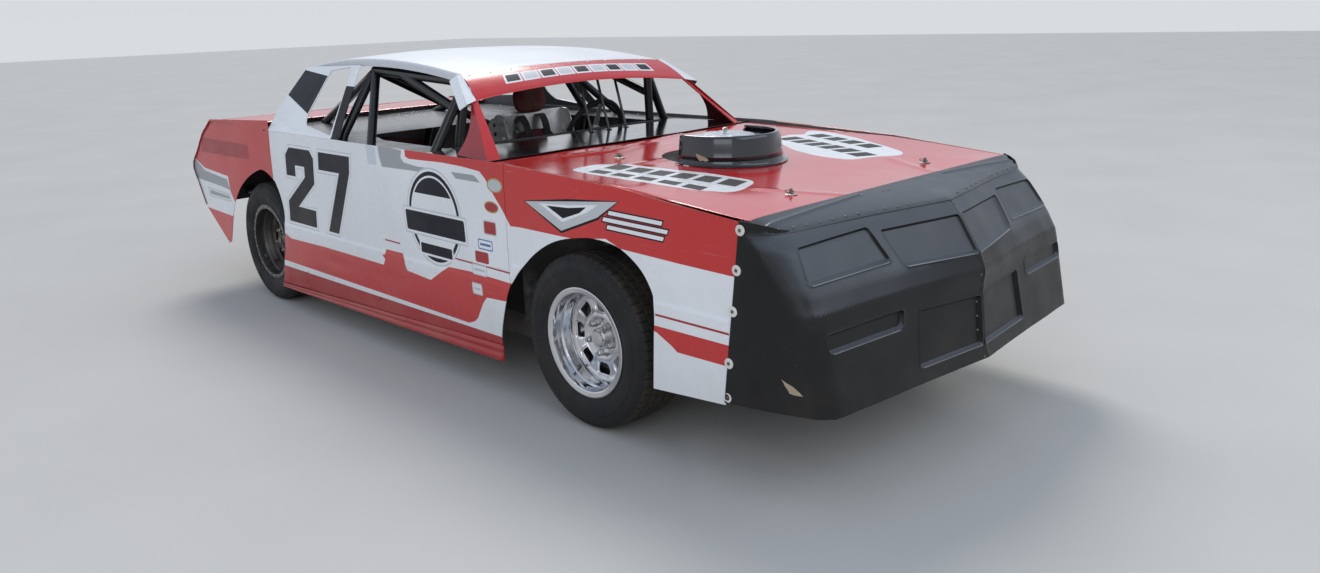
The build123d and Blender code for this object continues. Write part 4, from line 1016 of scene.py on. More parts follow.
# air cleaner: base pan, pleated element, domed lid with ribs and wing nut
ac = (-0.040, -1.295)
b = Build()
V, F = lathe_data([(0.915, 0.05), (0.915, 0.148), (0.921, 0.156), (0.930, 0.158), (0.934, 0.154), (0.934, 0.10)], (ac[0], ac[1], 0), (0, 0, 1), 72)
b.add(V, F, 0)
seg = 144
V, F = [], []
for z in (0.934, 0.970, 1.008):
    for k in range(seg):
        t = 2 * math.pi * k / seg
        r = 0.146 + (0.005 if k % 2 else 0.0)
        V.append((ac[0] + r * math.cos(t), ac[1] + r * math.sin(t), z))
F = [(i * seg + k, i * seg + (k + 1) % seg, (i + 1) * seg + (k + 1) % seg, (i + 1) * seg + k) for i in range(2) for k in range(seg)]
b.add(V, F, 1)
prof = [(1.004, 0.140), (1.004, 0.156), (1.008, 0.1595), (1.014, 0.160), (1.020, 0.1585), (1.0245, 0.153), (1.0255, 0.146), (1.0235, 0.140),
        (1.0240, 0.134), (1.0280, 0.124), (1.0330, 0.104), (1.0372, 0.080), (1.0396, 0.060), (1.0400, 0.052), (1.0385, 0.046),
        (1.0390, 0.040), (1.0420, 0.030), (1.0432, 0.016), (1.0433, 0.004)]
V, F = lathe_data(prof, (ac[0], ac[1], 0), (0, 0, 1), 96)
for k in range(9, 13):
    for j in range(96):
        v = V[k * 96 + j]
        v.z += 0.0012 * math.cos(12 * 2 * math.pi * j / 96)
b.add(V, F + [tuple(18 * 96 + j for j in range(96))], 2)
V, F = lathe_data([(1.040, 0.006), (1.0585, 0.006), (1.060, 0.0035), (1.060, 0.001)], (ac[0], ac[1], 0), (0, 0, 1), 16)
b.add(V, F, 3)
for s_ in (-1, 1):
    V, F = tube_data([(ac[0], ac[1], 1.047), (ac[0] + s_ * 0.014, ac[1] + s_ * 0.005, 1.050), (ac[0] + s_ * 0.021, ac[1] + s_ * 0.008, 1.056),
                      (ac[0] + s_ * 0.016, ac[1] + s_ * 0.006, 1.058)], [0.005, 0.004, 0.0035, 0.002], 8)
    b.add(V, F, 3)
b.out("air_cleaner_look", ["lid_chrome", "filter_paper", "lid_chrome", "steel_zinc"], "chassis", "cleaner_chrome", ("air_cleaner",), 35)

# hood pins with rings and lanyard loops
b = Build()
for px, py in ((-0.430, -1.940), (0.430, -1.940), (-0.340, -0.975), (0.340, -0.975)):
    z0 = float(hood_z(np.array([px]), np.array([py]))[0])
    V, F = lathe_data([(0.0, 0.022), (0.0018, 0.0225), (0.003, 0.020), (0.0032, 0.007)], (px, py, z0), (0, 0, 1), 24)
    b.add(V, F, 0)
    V, F = lathe_data([(0.0, 0.0058), (0.018, 0.0056), (0.021, 0.0045), (0.0225, 0.001)], (px, py, z0), (0, 0, 1), 12)
    b.add(V, F, 1)
    ring = [(px + 0.016 * math.cos(t), py + 0.006 + 0.016 * math.sin(t), z0 + 0.009 + 0.004 * math.sin(t)) for t in [2 * math.pi * k / 16 for k in range(17)]]
    V, F = tube_data(ring, 0.0015, 6)
    b.add(V, F, 1)
    V, F = tube_data([(px - 0.020, py, z0 + 0.009), (px + 0.022, py + 0.004, z0 + 0.009)], 0.0018, 6)
    b.add(V, F, 1)
b.out("hood_pins", ["steel_zinc", "bolt_dark"], "hood")

# ---------------------------------------------------------------------------
# nose: mapped over (distance along the section from the middle, height)
# ---------------------------------------------------------------------------
NSEC = [(296.0, -2474.0, 800.0, -2403.0), (374.0, -2444.0, 803.0, -2388.0), (559.0, -2429.0, 815.0, -2352.0),
        (631.0, -2438.0, 819.0, -2338.0), (692.0, -2416.0, 812.0, -2308.0), (812.0, -2341.0, 796.0, -2228.0), (860.0, -2297.0, 787.0, -2178.0)]
NZ = np.array([s[0] for s in NSEC])
CORNER = 62.0


def nose_line(z):
    """half outline of the nose at one height in mm, from the middle plane to the fender, with even spacing along it"""
    yc, xk, yk = (float(np.interp(z, NZ, [s[i] for s in NSEC])) for i in (1, 2, 3))
    ys = -1990.0 - 76.0 * (z - 281.0) / 621.0
    p = [(0.0, yc), (xk * 0.55, yc * 0.30 + yk * 0.70), (xk - 8, yk + 8), (840.0, yk + 95), (847.0, ys)]
    q = [Vector(a) for a in p]
    a, b_, c = q[1], q[2], q[3]
    out = [q[0]]
    # soft bend in the front face
    for k in range(7):
        t = k / 6
        s0, e0 = q[1].lerp(q[0], 0.25), q[1].lerp(q[2], 0.30)
        out.append(s0 * (1 - t) ** 2 + q[1] * (2 * t * (1 - t)) + e0 * t * t)
    u, w = (a - b_).normalized(), (c - b_).normalized()
    cut = float(np.interp(z, [300, 590, 650, 860], [40, 44, 62, 54]))
    for k in range(13):
        t = k / 12
        out.append((b_ + u * cut) * (1 - t) ** 2 + b_ * (2 * t * (1 - t)) + (b_ + w * cut) * t * t)
    s1, e1 = c.lerp(b_, 0.27), c.lerp(q[4], 0.12)
    for k in range(5):
        t = k / 4
        out.append(s1 * (1 - t) ** 2 + c * (2 * t * (1 - t)) + e1 * t * t)
    out.append(q[4])
    L = [0.0]
    for a1, b1 in zip(out, out[1:]):
        L.append(L[-1] + (b1 - a1).length)
    return np.array([v.x for v in out]), np.array([v.y for v in out]), np.array(L)


zs_tab = np.arange(290.0, 914.0, 4.0)
NTAB = []
NU = 240
for z in zs_tab:
    # smoothed in height so that the sections blend, with a firm line kept at the bumper bulge
    acc_x = acc_y = 0
    wsum = 0
    for dz, w_ in ((-9, 1), (-4.5, 2), (0, 3), (4.5, 2), (9, 1)):
        X, Y, L = nose_line(min(max(z + dz, 290.0), 912.0))
        t = np.linspace(0, 1, NU) * L[-1]
        acc_x = acc_x + w_ * np.interp(t, L, X)
        acc_y = acc_y + w_ * np.interp(t, L, Y)
        wsum += w_
    NTAB.append((acc_x / wsum, acc_y / wsum))
NX = np.array([a for a, _ in NTAB])
NYT = np.array([b2 for _, b2 in NTAB])
NLEN = 1.30      # nominal half length of the outline, metres


def bilinear(T, u, v):
    """table lookup, u along the section 0..1, v height in mm"""
    fu = np.clip(u, 0, 1) * (NU - 1)
    fv = np.clip((v - zs_tab[0]) / 4.0, 0, len(zs_tab) - 1.001)
    i0 = np.minimum(fu.astype(int), NU - 2)
    j0 = fv.astype(int)
    a, b3 = fu - i0, fv - j0
    return (T[j0, i0] * (1 - a) * (1 - b3) + T[j0, i0 + 1] * a * (1 - b3) + T[j0 + 1, i0] * (1 - a) * b3 + T[j0 + 1, i0 + 1] * a * b3)


def u_of_x(x, z):
    """nominal distance of front-view point (x, z) in mm, in metres"""
    j = int(min(max((z - zs_tab[0]) / 4.0, 0), len(zs_tab) - 1))
    X = NX[j]
    m_x = int(np.argmax(X > 780.0)) or NU - 1
    return float(np.interp(x, X[:m_x + 1], np.linspace(0, 1, NU)[:m_x + 1])) * NLEN


def recess(pts):
    return [(u_of_x(x, z), z * mm) for x, z in pts]


def dist_in(poly, u, v):
    """distance inside a polygon, 0 outside"""
    P = np.array(ccw(poly))
    Q = np.roll(P, -1, axis=0)
    inside = np.zeros(len(u), bool)
    best = np.full(len(u), 9.0)
    for (x0, y0), (x1, y1) in zip(P, Q):
        dx, dy = x1 - x0, y1 - y0
        t = np.clip(((u - x0) * dx + (v - y0) * dy) / max(dx * dx + dy * dy, 1e-12), 0, 1)
        best = np.minimum(best, np.hypot(u - x0 - t * dx, v - y0 - t * dy))
        c = ((y0 > v) != (y1 > v)) & (u < (x1 - x0) * (v - y0) / (y1 - y0 + 1e-15) + x0)
        inside ^= c
    return np.where(inside, best, 0.0), np.where(inside, 0.0, best)


def dense(poly, step=0.02):
    out = []
    for a, b4 in zip(poly, poly[1:] + poly[:1]):
        a, b4 = Vector(a), Vector(b4)
        k = max(1, int((b4 - a).length / step))
        out += [tuple(a.lerp(b4, i / k)) for i in range(k)]
    return out


RECESS = [
    (round_poly(recess([(755, 820), (427, 832), (405, 727), (780, 718)]), 0.018), 0.0105),
    (round_poly(recess([(385, 817), (8, 816), (8, 691), (360, 704)]), 0.012), 0.0095),
    (round_poly(recess([(785, 574), (410, 577), (424, 518), (775, 517)]), 0.022), 0.0120),
    (round_poly(recess([(335, 556), (10, 542), (10, 369), (358, 371)]), 0.012), 0.0110),
]


def nose_surf(sx, push=0.0):
    def f(u, v):
        un, z = u / NLEN, v * 1000.0
        x, y = bilinear(NX, un, z) * mm, bilinear(NYT, un, z) * mm
        e = 0.004
        xu = bilinear(NX, un + e, z) - bilinear(NX, un - e, z)
        yu = bilinear(NYT, un + e, z) - bilinear(NYT, un - e, z)
        L = np.maximum(np.hypot(xu, yu), 1e-9)
        nx, ny = -yu / L, xu / L       # towards the inside of the nose is +y
        dep = np.zeros_like(u)
        for poly, d in RECESS:
            din, dout = dist_in(poly, u, v)
            dep = dep + d * smoothstep(din / 0.0080)
            # raised lip along the lower edge catches the light
            dep = dep - 0.0018 * np.exp(-(dout / 0.006) ** 2) * (din <= 0)
        # seam roll at the middle
        dep = dep - 0.0018 * np.exp(-(u / 0.012) ** 2)
        dep = dep + 0.0008 * np.sin(9.0 * u + 2.0) * np.sin(11.0 * v) + 0.0006 * np.sin(23.0 * u + 9.0 * v)
        dep = dep + push
        x, y = x + nx * dep, y + ny * dep
        return np.column_stack([sx * np.clip(x, 0.0006, None), y, v])
    return f


nose_poly = [(0.001, 0.3235), (0.20, 0.3225), (0.45, 0.3222), (0.62, 0.3222), (0.86, 0.3222), (0.92, 0.3205), (1.10, 0.3080), (NLEN, 0.2915), (NLEN, 0.40), (NLEN, 0.60), (NLEN, 0.75),
             (NLEN, 0.9025), (1.24, 0.8965), (1.17, 0.8855), (1.115, 0.8735), (1.05, 0.8650), (0.95, 0.8630), (0.60, 0.8625), (0.25, 0.8622), (0.001, 0.8622)]
nose_extra, nose_lines = [], []
for poly, d in RECESS:
    for k in (-0.0100, -0.0055, -0.0022, 0.0003, 0.0020, 0.0036, 0.0052, 0.0068, 0.0082, 0.0120):
        ring = dense([tuple(q) for q in grow(poly, -k)], 0.010)
        nose_lines.append(ring + ring[:1])
for v in np.arange(0.60, 0.665, 0.006):
    nose_extra += [(u, float(v)) for u in np.arange(0.01, 1.29, 0.02)]
scar = [(1.062, 0.4270), (1.040, 0.4195), (1.012, 0.4125), (0.996, 0.4040), (0.984, 0.3975), (0.972, 0.3880), (0.990, 0.3872), (1.010, 0.3868), (1.026, 0.3885), (1.029, 0.3945), (1.036, 0.4010), (1.046, 0.4090), (1.050, 0.4160)]
scuffs = [[(0.300, 0.452), (0.340, 0.446), (0.372, 0.449), (0.340, 0.4505)],
          [(0.66, 0.340), (0.70, 0.352), (0.735, 0.350), (0.70, 0.347)]]
# painted highlight: thin pale strips just under the lower edge of each recess, standing in for light caught by the lip
lip_highlight_strips = []
for a_, b_ in (((405, 727), (780, 718)), ((8, 691), (360, 704)), ((424, 518), (775, 517)), ((10, 369), (358, 371))):
    (u0, v0), (u1, v1) = recess([a_, b_])
    if u0 > 0.05:
        u0 = u0 + 0.014
    u1 = u1 - 0.016
    lip_highlight_strips.append([(u0, v0 - 0.0004), (u1, v1 - 0.0004), (u1 - 0.004, v1 - 0.0030), (u0 + 0.004, v0 - 0.0030)])
for sx, tag in ((-1, "right"), (1, "left")):
    regs = ([(scar, "torn_plastic")] if sx < 0 else []) + [(w_, "nose_lip_highlight") for w_ in lip_highlight_strips]
    sheet("nose_skin_" + tag, nose_poly, nose_surf(sx), "nose_plastic", regs, du=0.020, dv=0.016, extra=nose_extra, lines=nose_lines,
          out_dir=(sx * 0.3, -1, 0), thick=0.0035, back="nose_plastic", slot="nose_black", replaces=("nose_halves",) if sx < 0 else ())

# top cover of the nose, riveted along its front edge
j62 = int((862.0 - zs_tab[0]) / 4.0)
fx, fy = NX[j62] * mm, NYT[j62] * mm
FRONT = [(float(a), float(c)) for a, c in zip(fx[::6], fy[::6]) if c < -2.098]
front_x = np.array([p[0] for p in FRONT])
front_y = np.array([p[1] for p in FRONT])


def top_z(x, y):
    yf = np.interp(np.abs(x), front_x, front_y) - 0.003
    t = np.clip((y - yf) / np.maximum(-2.080 - yf, 1e-3), 0, 1)
    z = 0.8665 + 0.0405 * t ** 0.85
    z = z - 0.005 * np.exp(-np.clip(y - yf, 0, 1) / 0.006)
    for s_ in (-1, 1):
        z = z + ridge(x, y, [(s_ * 0.803, -2.132), (s_ * 0.279, -2.112)], 0.0045, 0.006)
    z = z + 0.0010 * np.sin(9 * x + 1) * np.sin(21 * y)
    return z


def top_surf(x, y):
    return np.column_stack([x, y, top_z(x, y)])


top_poly = [(x, y - 0.003) for x, y in FRONT] + [(0.829, -2.100), (0.826, -2.088)] + [(-0.826, -2.088), (-0.829, -2.100)] + \
           [(-x, y - 0.003) for x, y in reversed(FRONT[1:])]
sheet("nose_top_skin", top_poly, top_surf, "nose_plastic", du=0.02, dv=0.012, out_dir=(0, 0, 1), thick=0.003, back="nose_plastic",
      slot="nose_black", replaces=("nose_top_panel",),
      rows=[((s_ * 0.803, -2.132 + k), (s_ * 0.279, -2.112 + k), 40) for s_ in (-1, 1) for k in (-0.009, -0.005, 0, 0.005, 0.009)] +
           [((-0.8, -2.086 - k), (0.8, -2.086 - k), 60) for k in (0.002, 0.006)])
P_, N_ = [], []
for s_ in (-1, 1):
    for x, y in ((767, -2176), (711, -2190), (656, -2202), (598, -2213), (540, -2222), (481, -2235), (422, -2245), (361, -2257), (301, -2266),
                 (246, -2277), (194, -2284), (98, -2290)):
        yf = float(np.interp(x * mm, front_x, front_y)) + 0.009
        P_.append((s_ * x * mm, yf, float(top_z(np.array([s_ * x * mm]), np.array([yf]))[0])))
        N_.append((s_ * 0.1, -0.35, 1))
for x in (-0.16, -0.125):
    P_.append((x, -2.13, float(top_z(np.array([x]), np.array([-2.13]))[0])))
    N_.append((0, 0, 1))
for z in (0.845, 0.815, 0.775, 0.735, 0.690, 0.655, 0.618, 0.565, 0.52, 0.47, 0.42, 0.37, 0.33):
    for sx in (-1, 1):
        if (sx > 0) == (int(z * 1000) % 2 == 0):
            continue
        p = nose_surf(sx)(np.array([0.022]), np.array([z]))[0]
        P_.append(tuple(p))
        N_.append((sx * 0.25, -1, 0.1))
studs("nose_rivets", P_, N_, 0.0048, 0.0026, "bolt_dark")

# pale washers with bolts where the nose meets the fenders
b = Build()
for sx in (-1, 1):
    for y, z in ((-2.069, 0.8725), (-2.053, 0.7435), (-2.035, 0.6075), (-2.016, 0.4315), (-2.0045, 0.3120)):
        x = float(side_out(np.array([y]), np.array([z]))[0]) + 0.0016
        V, F = lathe_data([(-0.001, 0.0175), (0.0016, 0.0178), (0.0030, 0.0165), (0.0034, 0.014), (0.0028, 0.0068), (0.0030, 0.0060)],
                          (sx * x, y, z), (sx, 0, 0), 28)
        b.add(V, F, 0)
        V, F = lathe_data([(0.0022, 0.0066), (0.0030, 0.0064), (0.0048, 0.0050), (0.0052, 0.0026), (0.0040, 0.0022), (0.0040, 0.0002)],
                          (sx * x, y, z), (sx, 0, 0), 16)
        b.add(V, F, 1)
b.out("nose_washers", ["washer_plastic", "bolt_dark"], "chassis")

# ---------------------------------------------------------------------------
# fender tops beside the hood, seen in the gap under the hood edge
# ---------------------------------------------------------------------------
b = Build()
for sx in (-1, 1):
    V, F = [], []
    tops = [(-2.066, 0.8975, 0.0035), (-1.78, 0.9225, 0.0045), (-1.536, 0.9465, 0.009), (-1.20, 0.961, 0.014), (-0.860, 0.974, 0.017)]
    for y, z, w_ in tops:
        x0 = float(side_out(np.array([y]), np.array([z]))[0])
        for dx, dz in ((0.0, -0.0010), (-0.0015, 0.0002), (-w_, -0.0010), (-w_ - 0.001, -0.0135), (-0.026, -0.0140), (-0.027, -0.022)):
            V.append((sx * (x0 + dx), y, z + dz))
    F = [(i * 6 + k, i * 6 + k + 1, (i + 1) * 6 + k + 1, (i + 1) * 6 + k) for i in range(len(tops) - 1) for k in range(2)]
    G = [(i * 6 + k, i * 6 + k + 1, (i + 1) * 6 + k + 1, (i + 1) * 6 + k) for i in range(len(tops) - 1) for k in range(2, 5)]
    b.add(V, F, 0)
    b.add(V, G, 1)
ob = b.out("fender_flanges", ["red_paint", "frame_paint"], "chassis", "fender_livery", (), 4)
m_ = ob.modifiers.new("wall", "SOLIDIFY")
m_.thickness, m_.offset = 0.0018, -1

# ---------------------------------------------------------------------------
# roof and visor
# ---------------------------------------------------------------------------
RY = np.array([-0.255, 0.085, 0.446, 0.857, 1.216])
RZ = np.array([1.290, 1.331, 1.351, 1.341, 1.301])


def catmull(x, xs, vs):
    """smooth curve through a short table"""
    out = np.zeros_like(np.asarray(x, float))
    xs, vs = np.array(xs, float), np.array(vs, float)
    m = np.gradient(vs, xs)
    i = np.clip(np.searchsorted(xs, x) - 1, 0, len(xs) - 2)
    h = xs[i + 1] - xs[i]
    t = np.clip((x - xs[i]) / h, 0, 1)
    out = (2 * t ** 3 - 3 * t ** 2 + 1) * vs[i] + (t ** 3 - 2 * t ** 2 + t) * h * m[i] + (-2 * t ** 3 + 3 * t ** 2) * vs[i + 1] + (t ** 3 - t ** 2) * h * m[i + 1]
    return out


ROOF_SIDE = 0.6005


def roof_surf(u, y):
    """u runs across the roof along the skin, past the side edge it turns down"""
    flat_half = 0.588
    s_ = np.sign(u)
    a = np.abs(u)
    zs = catmull(y, RY, RZ)
    r = 0.012
    arc = r * math.pi / 2
    x = np.where(a < flat_half, a, 0)
    crown = 0.024 * (1 - np.clip(a / 0.6, 0, 1) ** 2)
    z = zs + crown - 0.0005
    t = np.clip((a - flat_half) / arc, 0, 1) * math.pi / 2
    x = np.where(a < flat_half, a, flat_half + r * np.sin(t))
    zz = np.where(a < flat_half, z, zs + 0.0005 - r * (1 - np.cos(t)))
    down = np.clip(a - flat_half - arc, 0, 1)
    zz = zz - down
    x = x + 0.15 * down * 0
    wob = 0.0018 * np.sin(4.7 * u + 0.7) * np.sin(3.9 * y + 0.2) + 0.0008 * np.sin(13 * u + 5 * y)
    zz = zz + wob * np.clip((0.57 - a) / 0.1, 0, 1)
    # front edge rolls down to meet the visor, rear edge rolls down
    zz = zz - 0.006 * np.exp(-(y + 0.2555) / 0.010) - 0.008 * np.exp(-(1.2165 - y) / 0.012)
    # shallow pressed lines
    zz = zz + ridge(u, y, [(-0.42, -0.20), (-0.42, 1.16)], -0.0012, 0.010) + ridge(u, y, [(0.42, -0.20), (0.42, 1.16)], -0.0012, 0.010)
    return np.column_stack([s_ * x, y, zz])


ru = 0.588 + 0.012 * math.pi / 2 + 0.026
roof_rows = [((s_ * k, -0.254), (s_ * k, 1.215), 70) for s_ in (-1, 1) for k in (0.580, 0.588, 0.5915, 0.595, 0.5985, 0.602, 0.6068, 0.615)]
roof_rows += [((-ru, -0.255 + k), (ru, -0.255 + k), 60) for k in (0.004, 0.009, 0.016)] + [((-ru, 1.216 - k), (ru, 1.216 - k), 60) for k in (0.005, 0.011, 0.02)]
sheet("roof_skin", [(-ru, -0.255), (ru, -0.255), (ru, 1.216), (-ru, 1.216)], roof_surf, "roof_paint", du=0.03, dv=0.03, rows=roof_rows,
      out_dir=(0, 0, 1), thick=0.0025, back="sheet_back", slot="roof_white", replaces=("roof_panel",))


def visor_surf(u, v):
    """u across at the rear edge, v down the visor from the roof, 0..0.18"""
    t = np.clip(v / 0.18, 0, 1)
    half = 0.602 + 0.041 * t
    zs, zc = 1.2865 - 0.0975 * t, 1.3095 - 0.0805 * t
    y = -0.2585 - 0.1525 * t
    x = u / 0.602 * half
    z = zs + (zc - zs) * (1 - (u / 0.602) ** 2)
    bow = 0.006 * np.sin(np.pi * t)
    z = z + bow + 0.0012 * np.sin(8 * u + 1.0) * np.sin(17 * v)
    z = z - 0.004 * np.exp(-(0.18 - v) / 0.004)
    return np.column_stack([x, y - 0.4 * bow, z])


vis_R = []
bar_u0, bar_n, bar_w = -0.420, 9, 0.098
for k in range(bar_n):
    u0 = bar_u0 + k * bar_w
    q = [(u0, 0.118), (u0 + 0.080, 0.118), (u0 + 0.092, 0.055), (u0 + 0.012, 0.055)]
    vis_R += [(grow(q, 0.006), "white_paint")]
for k in range(bar_n):
    u0 = bar_u0 + k * bar_w
    q = [(u0, 0.118), (u0 + 0.080, 0.118), (u0 + 0.092, 0.055), (u0 + 0.012, 0.055)]
    vis_R += [(grow(q, -0.005), "silver_vinyl" if k % 2 else "navy_vinyl")]
sheet("visor_skin", [(-0.602, 0), (0.602, 0), (0.602, 0.18), (-0.602, 0.18)], visor_surf, "red_paint", vis_R, du=0.02, dv=0.015,
      rows=[((-0.6, 0.18 - k), (0.6, 0.18 - k), 60) for k in (0.002, 0.005, 0.009)],
      out_dir=(0, -0.5, 0.8), thick=0.0022, slot="panel_red", replaces=("windshield_visor",))
# rivets along the top of the visor
P_, N_ = [], []
for k in range(11):
    u_ = -0.57 + 1.14 * k / 10
    P_.append(tuple(visor_surf(np.array([u_]), np.array([0.012]))[0]))
    N_.append((0, -0.45, 0.85))
studs("visor_rivets", P_, N_, 0.005, 0.0028, "steel_zinc")

# ---------------------------------------------------------------------------
# sail panels and pillars on the leaning plane
# ---------------------------------------------------------------------------


def lean_x(z):
    return 0.846 - (z - 0.980) * (0.226 / 0.330)


def lean_surf(sx, off=0.0, bow=0.004):
    k = 0.226 / 0.330
    L = math.hypot(1, k)

    def f(y, z):
        w = bow * np.sin(np.clip((z - 0.98) / 0.34, 0, 1) * np.pi) * 0.4 + 0.0009 * np.sin(8 * y + 1) * np.sin(16 * z)
        w = w + ridge(y, z, [(0.545, 0.993), (0.997, 0.990), (1.234, 1.045)], -0.0022, 0.011) + off
        return np.column_stack([sx * (lean_x(z) + w / L), y, z + w * k / L])
    return f


sail = mmp([(480, 981), (1268, 981), (1268, 1040), (1262, 1100), (1236, 1160), (1182, 1304), (618, 1320)])
quarter_window = round_poly(mmp([(572, 992), (872, 1024), (900, 1053), (911, 1078), (895, 1262), (888, 1291), (692, 1312)]), 0.018)
sail_R = [(mmp([(911, 1078), (1262, 1200), (1241, 1160), (1236, 1161), (1182, 1304), (1160, 1300), (895, 1262)]), "navy_vinyl")]
sail_R = [(mmp([(911, 1078), (1236, 1160), (1260, 1166), (1210, 1290), (895, 1262)]), "navy_vinyl"),
          (mmp([(440, 960), (440, 1216), (700, 1222), (655, 1216), (560, 990), (560, 960)]), "black_vinyl")]
for sx, tag in ((-1, "right"), (1, "left")):
    sheet("sail_skin_" + tag, sail, lean_surf(sx), "white_paint", sail_R, holes=[quarter_window], du=0.022, dv=0.018,
          extra=[tuple(q) for k in (0.004, 0.012) for q in dense(grow(quarter_window, k), 0.02)],
          out_dir=(sx, 0, 0.6), thick=0.0025, slot="sail_white", replaces=("sail_panels",) if sx < 0 else ())
    # rolled lip round the quarter window
    ring = [Vector(q) for q in quarter_window]
    fs = lean_surf(sx, -0.0015)
    A = np.array([q[:] for q in ring] + [ring[0][:]])
    pts = fs(A[:, 0], A[:, 1])
    V, F = tube_data([tuple(p) for p in pts], 0.0032, 8, cap=False)
    mesh_obj("window_lip_" + tag, V, F, "white_paint", "chassis")

b = Build()
for sx, tag in ((-1, "right"), (1, "left")):
    # gusset between the door top and the pillar, rear edge slightly hollow
    def at(x, y, z):
        return (sx * x, y, z)
    hollow = [(0.780 - 0.095 * t, -0.4400 + 0.0093 * t - 0.030 * math.sin(math.pi * t), 0.9700 + 0.1769 * t) for t in (0.12, 0.28, 0.44, 0.60, 0.76, 0.90)]
    # the gusset's back uses a near-black red as painted shade
    plate3("gusset_" + tag, [at(0.780, -0.6625, 0.9625), at(0.780, -0.4400, 0.9700)] + [at(*q) for q in hollow] +
           [at(0.685, -0.4307, 1.1469), at(0.6615, -0.4076, 1.1915)], "pillar_paint", 0.003, (sx, 0, 0.3), slot="pillar_red", back="pillar_painted_shade",
           grid=0.02, replaces=("pillar_covers",) if sx < 0 else ())
    # rolled pillar cover from the hood corner up to the visor
    plate3("pillar_" + tag, [at(0.781, -0.6625, 0.9625), at(0.7254, -0.6760, 0.9638), at(0.6332, -0.4085, 1.1870), at(0.6620, -0.4076, 1.1920)],
           "red_paint", 0.003, (0, -0.7, 0.7), slot="pillar_red", back="pillar_paint", grid=0.008, bulge=0.004)
    # folded inner edge of the pillar cover
    plate3("pillar_flange_" + tag, [at(0.7254, -0.6760, 0.9638), at(0.6332, -0.4085, 1.1870), at(0.6345, -0.4000, 1.1840), at(0.7260, -0.6660, 0.9638)],
           "pillar_paint", 0.002, (-sx, 0, 0), slot="pillar_red", back="pillar_paint", grid=0.02)
    sheet("upper_cover_" + tag, mmp([(-256, 1292), (-222, 1266), (-404, 1153), (-436, 1174)]), lean_surf(sx, -0.004), "white_paint",
          du=0.02, dv=0.02, out_dir=(sx, 0, 0.6), thick=0.003, slot="sail_white")
    # front face of the upper cover beside the visor
    lx0, lx1 = lean_x(1.290) - 0.004, lean_x(1.174) - 0.004
    plate3("upper_cover_front_" + tag, [(sx * lx1, -0.437, 1.1745), (sx * 0.644, -0.4135, 1.1868), (sx * 0.603, -0.2600, 1.2870), (sx * lx0, -0.257, 1.291)],
           "white_paint", 0.0022, (sx * 0.3, -0.7, 0.6), slot="sail_white", grid=0.02)

# ---------------------------------------------------------------------------
# roll cage, bars and door bars
# ---------------------------------------------------------------------------
HO = 0.565
b = Build()
r_c = 0.0218


def bar(pts, r=r_c, bend=0.08, seg=16, mat=0):
    V, F = tube_data(rounded(pts, bend, 8) if len(pts) > 2 else pts, r, seg)
    b.add(V, F, mat)


bar([(0.612, HO, 0.262), (0.792, HO - 0.005, 0.960), (0.568, HO, 1.292), (-0.568, HO, 1.292), (-0.792, HO - 0.005, 0.960), (-0.612, HO, 0.262)], bend=0.06)
for s_ in (-1, 1):
    bar([(s_ * 0.568, HO, 1.292), (s_ * 0.562, -0.215, 1.252), (s_ * 0.600, -0.184, 0.960), (s_ * 0.612, -0.200, 0.262)], bend=0.06)
    bar([(s_ * 0.570, -0.205, 1.228), (s_ * 0.722, -0.172, 0.950)])
    bar([(s_ * 0.567, 0.300, 1.278), (s_ * 0.580, -0.200, 1.115)])
    bar([(s_ * 0.572, 0.548, 1.282), (s_ * 0.800, 0.250, 0.950)])
    bar([(s_ * 0.560, HO, 1.290), (s_ * 0.372, 1.585, 0.950), (s_ * 0.424, 1.900, 0.490)], bend=0.06)
    # weld beads at the joints
    for p, d_ in (((s_ * 0.568, HO - 0.020, 1.291), (0, 1, 0)), ((s_ * 0.562, -0.193, 1.252), (0, 1, 0))):
        V, F = lathe_data([(-0.004, 0.0222), (-0.002, 0.0246), (0.002, 0.0246), (0.004, 0.0222)], p, d_, 20)
        b.add(V, F, 0)
bar([(-0.562, -0.215, 1.252), (0.562, -0.215, 1.252)])
bar([(-0.560, HO, 1.290), (0.700, HO, 0.640)])
bar([(-0.690, HO, 0.560), (0.690, HO, 0.560)])
bar([(-0.600, -0.190, 0.930), (0.600, -0.190, 0.930)])
b.out("roll_cage_look", "cage_paint", "chassis", "cage_black", ("roll_cage",), 50)

b = Build()
for x in (0.090, 0.205, 0.320):
    bar([(x, -0.300, 0.966), (x, -0.217, 1.250)], 0.0068, seg=10)
    V, F = lathe_data([(0.0, 0.015), (0.003, 0.015), (0.004, 0.008)], (x, -0.300, 0.9662), (0, 0, 1), 16)
    b.add(V, F, 0)
b.out("windshield_bars_look", "cage_paint", "chassis", "cage_black", ("windshield_bars",), 50)
b = Build()
for s_ in (-1, 1):
    for z in (0.420, 0.600, 0.780):
        bar([(s_ * 0.790, -0.620, z), (s_ * 0.790, 0.520, z)], 0.0188)
    for y in (-0.560, -0.060, 0.460):
        bar([(s_ * 0.790, y, 0.400), (s_ * 0.790, y, 0.830)], 0.0188)
b.out("door_bars_look", "cage_paint", "chassis", "cage_black", ("door_bars",), 50)

# ---------------------------------------------------------------------------
# dash, deck, rear deck, tail
# ---------------------------------------------------------------------------


def level(z0, amp, fx_=5.0, fy_=4.0):
    def f(x, y):
        return np.column_stack([x, y, z0 + amp * np.sin(fx_ * x + 0.4) * np.sin(fy_ * y + 1.2) + 0.35 * amp * np.sin(13 * x - 9 * y)])
    return f


